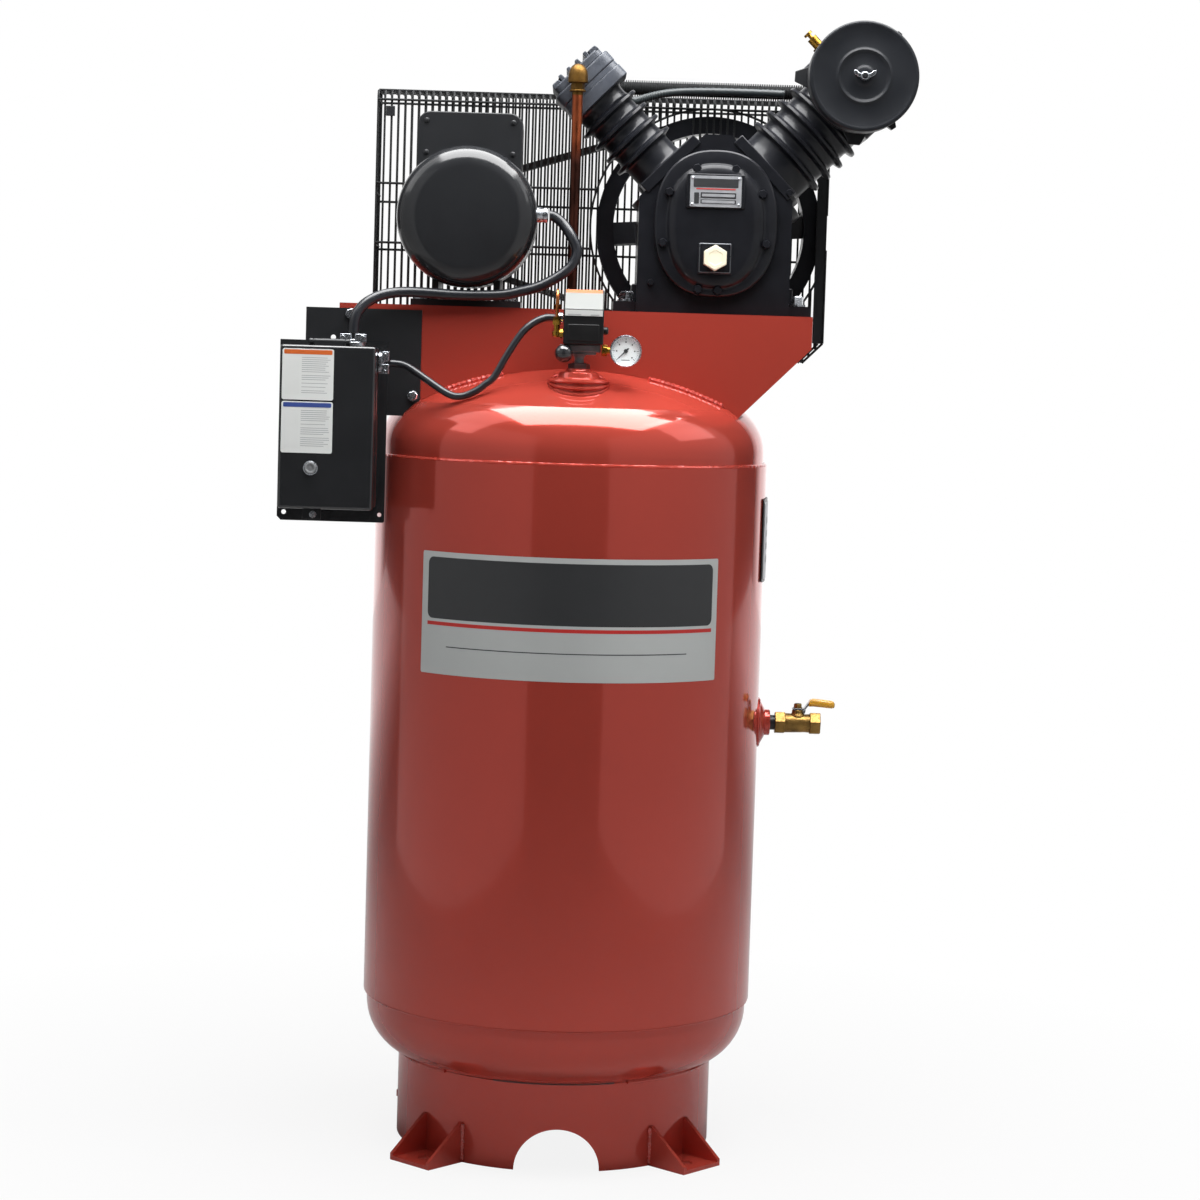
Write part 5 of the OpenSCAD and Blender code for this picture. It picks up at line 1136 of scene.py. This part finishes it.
# Controls on the top coupling, from the coupling's own corner
CONTROL = Vector((0.006456, -0.185, 1.18987))
SWITCH_Z = CONTROL.z + 0.0581


def at_control(x, y, z):
    return (CONTROL.x + x, CONTROL.y + y, CONTROL.z + z)


def make_switch():
    """Switch case with a slanted lid, wrapped by a blank card."""
    x0, x1 = CONTROL.x - 0.025, CONTROL.x + 0.035
    m = frame_of(BACK, UP, RIGHT, (0, CONTROL.y, SWITCH_Z))
    side, top, lip = 0.0515, 0.0818, -0.03
    body = Build().prism([(lip, 0), (0.03, 0), (0.03, top), (0.01, top), (lip, side)], x0, x1, m)
    body.prism(rect(lip - 0.0008, lip + 0.01, 0.004, 0.03), x0 + 0.006, x1 - 0.006, m)
    case = bevel(body.obj("switch_case", "switch", "switch_plastic"), 1.8, 3)
    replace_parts(case, "pressure_switch")
    slope = Vector((0.01 - lip, top - side)).normalized()
    out = Vector((-slope.y, slope.x))

    def card(name, outline, look, low, high):
        Build().prism(outline, low, high, m).obj(name, look, "switch_plastic")

    def on_slope(a, b):
        """Strip of card between two distances up the slanted lid."""
        corner = Vector((lip, side))
        return [tuple(corner + slope * u + out * v) for u, v in rect(a, b, 0, 0.0006)]

    card("switch_card", on_slope(0.0005, 0.041), "card_slope", x0 + 0.002, x1 - 0.002)
    card("switch_card_band", on_slope(0.041, 0.0495), "orange", x0 + 0.0025, x1 - 0.0025)
    wrap = rect(lip - 0.0006, lip, side - 0.0095, side - 0.0006)
    card("switch_card_lip", wrap, "paper_grey", x0 + 0.002, x1 - 0.002)
    rule = rect(lip - 0.0008, lip - 0.0006, side - 0.0085, side - 0.007)
    for k, (a, b) in enumerate(((0.006, 0.026), (0.04, 0.053))):
        card("switch_card_rule_%d" % k, rule, "ink_grey", x0 + a, x0 + b)
    knob = Build().lathe(mm((0, 7.5), (4, 7.2), (5.5, 5.5), (5.5, 0), (0, 0)),
                         spin_to(RIGHT, (x1, CONTROL.y - 0.012, SWITCH_Z + 0.021)), 24)
    knob.obj("switch_plug", "switch", "switch_plastic")


def make_manifold():
    """Cast tee, hexagon bushing, coupling rings and black end ball."""
    m = Matrix.Translation(CONTROL)
    b = Build()
    b.box(at_control(-0.03, -0.0135, 0.0465), at_control(0.0315, 0.0135, 0.0579))
    b.box(at_control(-0.023, -0.0105, 0.0425), at_control(0.025, 0.0105, 0.048))
    b.lathe(mm((0, 28), (7.5, 28), (7, 36), (8, 40), (10.5, 42.5), (15, 44), (0, 44)), m, 40)
    tee = bevel(b.obj("manifold_tee", "grey_cast", "grey_casting"), 2.0, 3)
    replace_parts(tee, "switch_manifold")
    bush = Build().prism(hex_points(0.029, 0.1), 0.011, 0.029, m)
    bush.lathe(mm((0, 28.5), (11.5, 28.5), (11.5, 30.5), (0, 30.5)), m, 32)
    bevel(bush.obj("coupling_bush", "bush", "red_paint"), 1.0)
    steps = mm((30.5, 6), (39.2, 6), (40.2, 7.8), (40.2, 10.6), (39, 12.2), (35, 12.6), (34.2, 13.8),
               (34.2, 16.2), (33, 17.8), (30.5, 18), (30.5, 6))
    rings = Build().lathe(steps, Matrix.Translation(at_control(0, 0, -0.022)), 72)
    rings.obj("coupling_steps", "red", "red_paint")
    ball = Build()
    ball.lathe(arc(0, 0, 0.0136, -90, 90, 18), Matrix.Translation(at_control(-0.0235, -0.0225, 0.044)), 40)
    ball.tube([at_control(-0.0235, -0.0225, 0.045), at_control(-0.02, -0.005, 0.052)], 0.0062, 20, up=UP)
    ball.obj("manifold_ball", "gloss_black", "switch_plastic")


def make_unloader():
    """Brass elbow and nut with a small copper tube over to the saddle."""
    x, y, z = CONTROL.x - 0.0351, CONTROL.y - 0.014, SWITCH_Z
    b = Build()
    up = Matrix.Translation((x, y, z))
    b.prism(hex_points(0.011, 0.3), 0.028, 0.0345, up)
    b.lathe(mm((0, 10), (4.4, 10), (4.4, 29), (3.6, 40), (0, 40)), up, 24)
    b.prism(hex_points(0.0098, 0.0), 0.035, 0.04, up)
    b.lathe(mm((0, 10.5), (3, 9.5), (6.2, 11.8), (6.6, 15), (6.2, 18.2), (0, 19)), up, 28)
    b.tube([(x - 0.004, y, z + 0.015), (CONTROL.x - 0.0251, y, z + 0.015)], 0.0042, 18, up=UP)
    b.prism(hex_points(0.0115, 0.2), 0.004, 0.0095, spin_to(RIGHT, (x, y, z + 0.015)))
    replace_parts(b.obj("unloader_fitting", "brass", "brass"), "unloader")
    foot_y, turn, bend_z = -0.082, 0.014, z + 0.066
    over = arc(y + turn, bend_z, turn, 180, 90, 6) + arc(foot_y - turn, bend_z, turn, 90, 0, 6)[1:]
    path = [(y, z + 0.038)] + over + [(foot_y, PLATE_Z + 0.0008)]
    pipe = Build().tube([(x, *p) for p in path], 0.0024, 12, up=(1, 0, 0.01))
    pipe.obj("unloader_tube", "copper_bright", "brass")
    foot = Build().prism(hex_points(0.011, 0.1), 0.0003, 0.008, Matrix.Translation((x, foot_y, PLATE_Z)))
    foot.obj("unloader_foot", "brass", "brass")


GAUGE = Vector((0.075456, -0.184, 1.23987))
DIAL_MARKS, MARKS_PER_NUMBER, INK_T = 30, 5, 0.00012


def make_gauge():
    """Bright case and bezel, white dial with a scale, brass stem."""
    m = spin_to(FRONT, GAUGE)
    case = mm((0, 0), (20.5, 0), (22.8, 1.2), (23.4, 3), (23.4, 20.5), (24, 21.5), (24, 24.8), (23.3, 25.8),
              (22.2, 26), (21.4, 25.2), (21.2, 18), (0, 17.2))
    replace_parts(Build().lathe(case, m, 72).obj("gauge_case", "zinc", "zinc"), "pressure_gauge")
    dial = Build().lathe(rect(0.0018, 0.0211, 0.018, 0.0182) + [(0.0018, 0.018)], m, 64)
    dial.obj("gauge_dial", "dial", "zinc")
    face = facing((GAUGE.x, GAUGE.y - 0.0182, GAUGE.z))
    scale = Build()
    for k in range(DIAL_MARKS + 1):
        a = math.radians(225 - 270 * k / DIAL_MARKS)
        c, s = math.cos(a), math.sin(a)
        numbered = k % MARKS_PER_NUMBER == 0
        r0, w = (0.0162, 0.00034) if numbered else (0.0182, 0.0002)
        mark = [(r * c - t * s, r * s + t * c) for r, t in rect(r0, 0.0196, -w, w)]
        scale.prism(mark, 0, INK_T, face)
        if numbered:
            scale.prism(round_rect(0.0019, 0.0021, 0.0005, 2, 0.0135 * c, 0.0135 * s), 0, INK_T, face)
    scale.prism(round_rect(0.0125, 0.001, 0.0003, 2, 0, -0.0135), 0, INK_T, face)
    scale.obj("gauge_scale", "ink", "zinc")
    start = at_control(0.0331, -0.012, 0.05)
    stem = Build().prism(hex_points(0.015, 0.0), 0.0002, 0.0085, spin_to(RIGHT, start))
    stem.tube([start, at_control(0.05, -0.012, 0.05)], 0.0052, 20, up=UP)
    bevel(stem.obj("gauge_stem", "brass", "brass"), 0.6)


make_switch()
make_manifold()
make_unloader()
make_gauge()


# Starter box: deep pan with a drilled flange, hinged cover, cards and clamps
STARTER_X0, STARTER_X1, STARTER_Z0, STARTER_Z1 = -0.437, -0.295, 0.9915, 1.2345
PAN_BACK, PAN_FRONT, LID_FRONT = -0.1182, -0.2052, -0.2353
HINGE_Z, SHEET_T = 1.2405, 0.0018
LID_BODY = "starter_lid"


def sheet_box(name, low, high, open_back, body, edge_mm):
    """Folded sheet box, open at its back or its front, with rounded folds."""
    verts = [(x, y, z) for x in (low[0], high[0]) for y in (low[1], high[1]) for z in (low[2], high[2])]
    faces = [(0, 1, 3, 2), (4, 6, 7, 5), (0, 2, 6, 4), (1, 5, 7, 3)]
    faces.append((0, 4, 5, 1) if open_back else (2, 3, 7, 6))
    obj = new_mesh(name, verts, faces, "gloss_black", "black_paint", body)
    mid = (Vector(low) + Vector(high)) / 2
    bm = bmesh.new()
    bm.from_mesh(obj.data)
    for f in bm.faces:
        if f.normal.dot(f.calc_center_median() - mid) < 0:
            f.normal_flip()
    bm.to_mesh(obj.data)
    bm.free()
    bevel(obj, edge_mm, 4, 30)
    fold = obj.modifiers.new("sheet", "SOLIDIFY")
    fold.thickness = SHEET_T
    fold.offset = -1
    return obj


def drilled(outline, holes):
    """Outline with round holes, each joined to it by a slit from the outline's nearest corner."""
    pts = list(outline)
    for cx, cz, r in holes:
        near = min(range(len(pts)), key=lambda k: math.hypot(pts[k][0] - cx, pts[k][1] - cz))
        start = math.degrees(math.atan2(pts[near][1] - cz, pts[near][0] - cx))
        pts = pts[:near + 1] + arc(cx, cz, r, start, start - 360, 20) + pts[near:]
    return pts


def make_starter():
    pan = sheet_box("starter_pan_sheet", (STARTER_X0 + 0.0012, PAN_FRONT + 0.0002, STARTER_Z0 + 0.0012),
                    (STARTER_X1 - 0.0012, PAN_BACK - 0.002, STARTER_Z1 - 0.0012), False, ROOT, 2.2)
    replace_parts(pan, "starter_pan")
    x0, x1, z0, z1 = STARTER_X0 - 0.011, STARTER_X1 + 0.011, STARTER_Z0 - 0.024, STARTER_Z1 + 0.008
    outline = [(x0 + 0.006, z0), ((x0 + x1) / 2 - 0.02, z0), (x1 - 0.002, z0), (x1, z0 + 0.002),
               (x1, z1), (x0, z1), (x0, z0 + 0.006)]
    holes = [(x0 + 0.0105, z0 + 0.0125, 0.0036), (x1 - 0.0075, z0 + 0.012, 0.0032)]
    flange = Build().prism(drilled(outline, holes), -PAN_BACK, -PAN_BACK + 0.002, facing((0, 0, 0)))
    flange.obj("starter_flange", "gloss_black", "black_paint")
    lid = sheet_box("starter_lid_sheet", (STARTER_X0, LID_FRONT, STARTER_Z0),
                    (STARTER_X1, PAN_FRONT - 0.0001, STARTER_Z1), True, LID_BODY, 4.2)
    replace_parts(lid, "starter_cover")

    def knuckle(build, a, b, r=0.0045, sides=20):
        build.tube([(a, PAN_FRONT, HINGE_Z), (b, PAN_FRONT, HINGE_Z)], r, sides, up=UP)

    hinge = Build()
    knuckle(hinge, -0.389, -0.343)
    hinge.box((-0.389, PAN_FRONT - 0.008, 1.2335), (-0.343, PAN_FRONT - 0.0012, 1.24))
    hinge.obj("starter_hinge_leaf", "black", "black_paint", LID_BODY)
    fixed = Build()
    for a, b in ((-0.396, -0.3905), (-0.3415, -0.336)):
        knuckle(fixed, a, b)
        fixed.box((a, PAN_FRONT + 0.0002, 1.2335), (b, PAN_FRONT + 0.008, 1.244))
    knuckle(fixed, -0.396, -0.336, 0.0024, 14)
    fixed.obj("starter_hinge_knuckles", "black", "black_paint")
    tab = Build().box((-0.4, LID_FRONT + 0.012, STARTER_Z0 - 0.016),
                      (-0.372, LID_FRONT + 0.014, STARTER_Z0 + 0.001))
    bevel(tab.obj("starter_tab", "black", "black_paint", LID_BODY), 0.5)
    screw = Build()
    hex_bolt(screw, (-0.384, LID_FRONT + 0.0119, STARTER_Z0 - 0.0085), FRONT, 0.0085, 0.0035, 0.0055, 0.001)
    screw.obj("starter_tab_screw", "zinc", "zinc", LID_BODY)


def make_cards():
    """Two blank cards on the cover, each with a coloured head and pale rules."""
    m = facing((0, LID_FRONT, 0))
    rng = random.Random(11)
    x0, x1 = -0.433, -0.3567
    cx, w = (x0 + x1) / 2, x1 - x0
    for tag, z0, z1, look in (("upper", 1.1532, 1.229, "orange"), ("lower", 1.0745, 1.1508, "blue")):
        cz, h = (z0 + z1) / 2, z1 - z0
        for part, ox, oz, pw, ph, finish_key, low, high, corner in (
                ("sheet", 0, 0, w, h, "paper", 0.0001, 0.0004, 0.003),
                ("head", 0, h / 2 - 0.005, w - 0.005, 0.0066, look, 0.0004, 0.0006, 0.0015),
                ("field", -w / 2 + 0.015, -0.004, 0.021, h - 0.024, "card_field", 0.0004, 0.0006, 0.001)):
            piece = Build().prism(round_rect(pw, ph, corner, 3, cx + ox, cz + oz), low, high, m)
            piece.obj("card_%s_%s" % (tag, part), finish_key, "black_paint", LID_BODY)
        rules = Build()
        line = h / 2 - 0.0135
        while line > -h / 2 + 0.008:
            long = 0.034 + rng.uniform(0, 0.009)
            x, z = x0 + 0.029, cz + line
            rules.prism(rect(x, x + long, z, z + 0.0007), 0.0004, 0.0005, m)
            line -= 0.003 if rng.random() > 0.25 else 0.0055
        rules.obj("card_%s_rules" % tag, "ink_grey", "black_paint", LID_BODY)


def make_reset():
    m = spin_to(FRONT, (-0.388, LID_FRONT, 1.0525))
    cap = mm((0, -8), (12, -8), (12, -4), (8.8, -3.5), (8.8, 3.8), (8, 4.8), (6.6, 5), (5.6, 4.6), (5, 3.4),
             (3.4, 3.1), (1.2, 3.6), (0, 3.6))
    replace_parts(Build().lathe(cap, m, 48).obj("reset_cap", "grey", "grey_plastic", "reset"), "reset_button")
    ring = Build().lathe(mm((9.1, 0.1), (10.8, 0.1), (10.6, 1), (9.8, 1.4), (9.1, 1), (9.1, 0.1)), m, 48)
    ring.obj("reset_ring", "zinc", "zinc", LID_BODY)


def clamp(build, place, axis, across, size, hole):
    """Cast cable clamp: oval base, two jaws round the cable and their screws."""
    w, d, h = size
    up = Vector(axis)
    side = Vector(across)
    m = frame_of(side, up.cross(side), up, place)
    build.prism(round_rect(w, d, d * 0.45, 6), 0.0, h * 0.34, m)
    build.lathe([(hole, h * 0.3), (hole + 0.0038, h * 0.3), (hole + 0.0034, h * 0.55),
                 (hole + 0.0012, h * 0.6), (hole, h * 0.6), (hole, h * 0.3)], m, 36)
    for s in (-1, 1):
        jaw = rect(s * hole * 0.4, s * w / 2, hole + 0.0005, hole + 0.0045)
        build.prism(jaw, h * 0.34, h, m)
        build.prism([(x, -z) for x, z in jaw], h * 0.34, h, m)
        sm = m @ frame_of(RIGHT, (0, 0, -1), BACK, (s * (w / 2 - 0.004), -hole - 0.0045, h * 0.68))
        build.lathe(mm((0, -3), (4, -3), (4, -0.8), (2.8, 0), (0, 0)), sm, 18)
        build.lathe([(0, 0), (0.0018, 0), (0.0018, 2 * hole + 0.01), (0, 2 * hole + 0.01)], sm, 12)


def make_connectors():
    b = Build()
    clamp(b, (-0.334, -0.166, STARTER_Z1 + 0.0002), UP, RIGHT, (0.038, 0.03, 0.0185), 0.0083)
    clamp(b, (STARTER_X1 + 0.0002, -0.166, 1.2115), RIGHT, UP, (0.033, 0.024, 0.015), 0.0058)
    b.lathe(mm((8.3, 0), (11.8, 0), (11.8, 16), (11, 17.5), (11, 19.5), (11.8, 20.5), (11.8, 25.5),
               (10.4, 26.8), (8.3, 26.8), (8.3, 0)), spin_to(RIGHT, (-0.074, -0.098, 1.4425)), 40)
    b.lathe(mm((5.6, 0), (8, 0), (8.4, 1.2), (8.4, 12), (5.6, 12.8), (5.6, 0)),
            spin_to(RIGHT, (-0.0316, -0.178, 1.2865)), 32)
    zinc = bevel(b.obj("cable_clamps", "zinc", "zinc"), 0.5, 2, 40)
    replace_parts(zinc, "cable_connectors")


make_starter()
make_cards()
make_reset()
make_connectors()


# Couplings, ball valve and its lever
VALVE = Vector((0.368, 0, OUTLET_Z))
BOSS = mm(
    (13, -25), (44, -25), (44, 3.4), (43, 6), (40.2, 7), (34.6, 7), (32.8, 7.8), (31.6, 10),
    (31, 13.4), (29.6, 15.8), (26.8, 16.8), (22.8, 17), (20.6, 17.6), (19, 19.4), (18.4, 21.6),
    (13, 21.9), (13, -25),
)
CONE = mm(
    (12, 298.5), (36.5, 298.5), (36.2, 306.4), (34.5, 308.5), (23.6, 314.8), (20.6, 315.8),
    (20.4, 316.8), (20.4, 322.8), (19.6, 323.9), (12, 323.9), (12, 298.5),
)
BARREL = mm(
    (8.8, 347), (15, 347), (15.3, 350), (15, 360), (14.6, 372), (14.2, 380), (14.6, 385),
    (14.6, 388), (8.8, 388), (8.8, 347),
)
NECK = mm(
    (5.2, 11), (12.5, 11), (10.5, 14.8), (9.2, 16.5), (9, 20.8), (5.2, 20.8), (5.2, 11),
)
LEVER = mm(
    (-8.5, 21.5), (11, 21.5), (17, 29.5), (22, 32.2), (56, 29), (56, 31.5), (21.5, 34.8),
    (15.5, 32.2), (10, 24), (-8.5, 24),
)
GRIP = mm(
    (16.5, 30.2, 7.8, 2.6), (18.5, 32.2, 9.5, 5), (23.5, 33.4, 9.8, 5.8), (33, 32.7, 9.8, 5.8),
    (44, 31.7, 9.8, 5.8), (53, 30.9, 9.6, 5.6), (56.5, 30.6, 8.2, 4.6), (58, 30.5, 5, 2.6),
)


def make_couplings():
    b = Build().lathe(BOSS, Matrix.Translation(CONTROL), 96)
    b.lathe(CONE, spin_to(RIGHT, (0, 0, OUTLET_Z)), 72)
    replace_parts(b.obj("welded_couplings", "red", "red_paint"), "tank_couplings")


def make_valve():
    m = spin_to(RIGHT, (0, 0, OUTLET_Z))
    body = Build()
    for a, b in ((0.3322, 0.348), (0.3872, 0.4038)):
        body.prism(hex_points(0.0322, math.radians(20)), a, b, m)
    body.lathe(BARREL, m, 56).lathe(NECK, Matrix.Translation(VALVE), 32)
    casting = bevel(body.obj("valve_casting", "bronze", "brass"), 1.0, 3, 35)
    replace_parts(casting, "ball_valve_body")
    # Dark ring on the end of the hexagon: painted shade of the threaded mouth
    bore = Build().lathe(rect(0.008, 0.0122, 0.403, 0.4039) + [(0.008, 0.403)], m, 40)
    bore.obj("valve_mouth_shade", "ink", "brass")


def make_lever():
    """Plated lever with a stop and a dipped vinyl grip."""
    at = facing(VALVE)
    steel = Build().prism(LEVER, -0.0078, 0.0078, at)
    steel.prism(mm((8.5, 16), (11, 16), (12.5, 22.5), (9, 22.5)), 0.005, 0.008, at)
    plate = bevel(steel.obj("lever_strip", "steel", "zinc", "outlet_lever"), 0.6)
    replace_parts(plate, "valve_handle")
    rings = []
    for x, z, hw, hh in GRIP:
        section = round_rect(2 * hw, 2 * hh, min(hw, hh) * 0.75, 6)
        rings.append([(x, z + c, a) for a, c in section])
    Build().add(*loft(rings), at).obj("lever_grip", "grip", "grip", "outlet_lever")
    nut = Build()
    hex_bolt(nut, (VALVE.x, 0, OUTLET_Z + 0.0242), UP, 0.0115, 0.0058, 0.007, 0.001)
    nut.obj("lever_nut", "bronze", "zinc", "outlet_lever")


make_couplings()
make_valve()
make_lever()
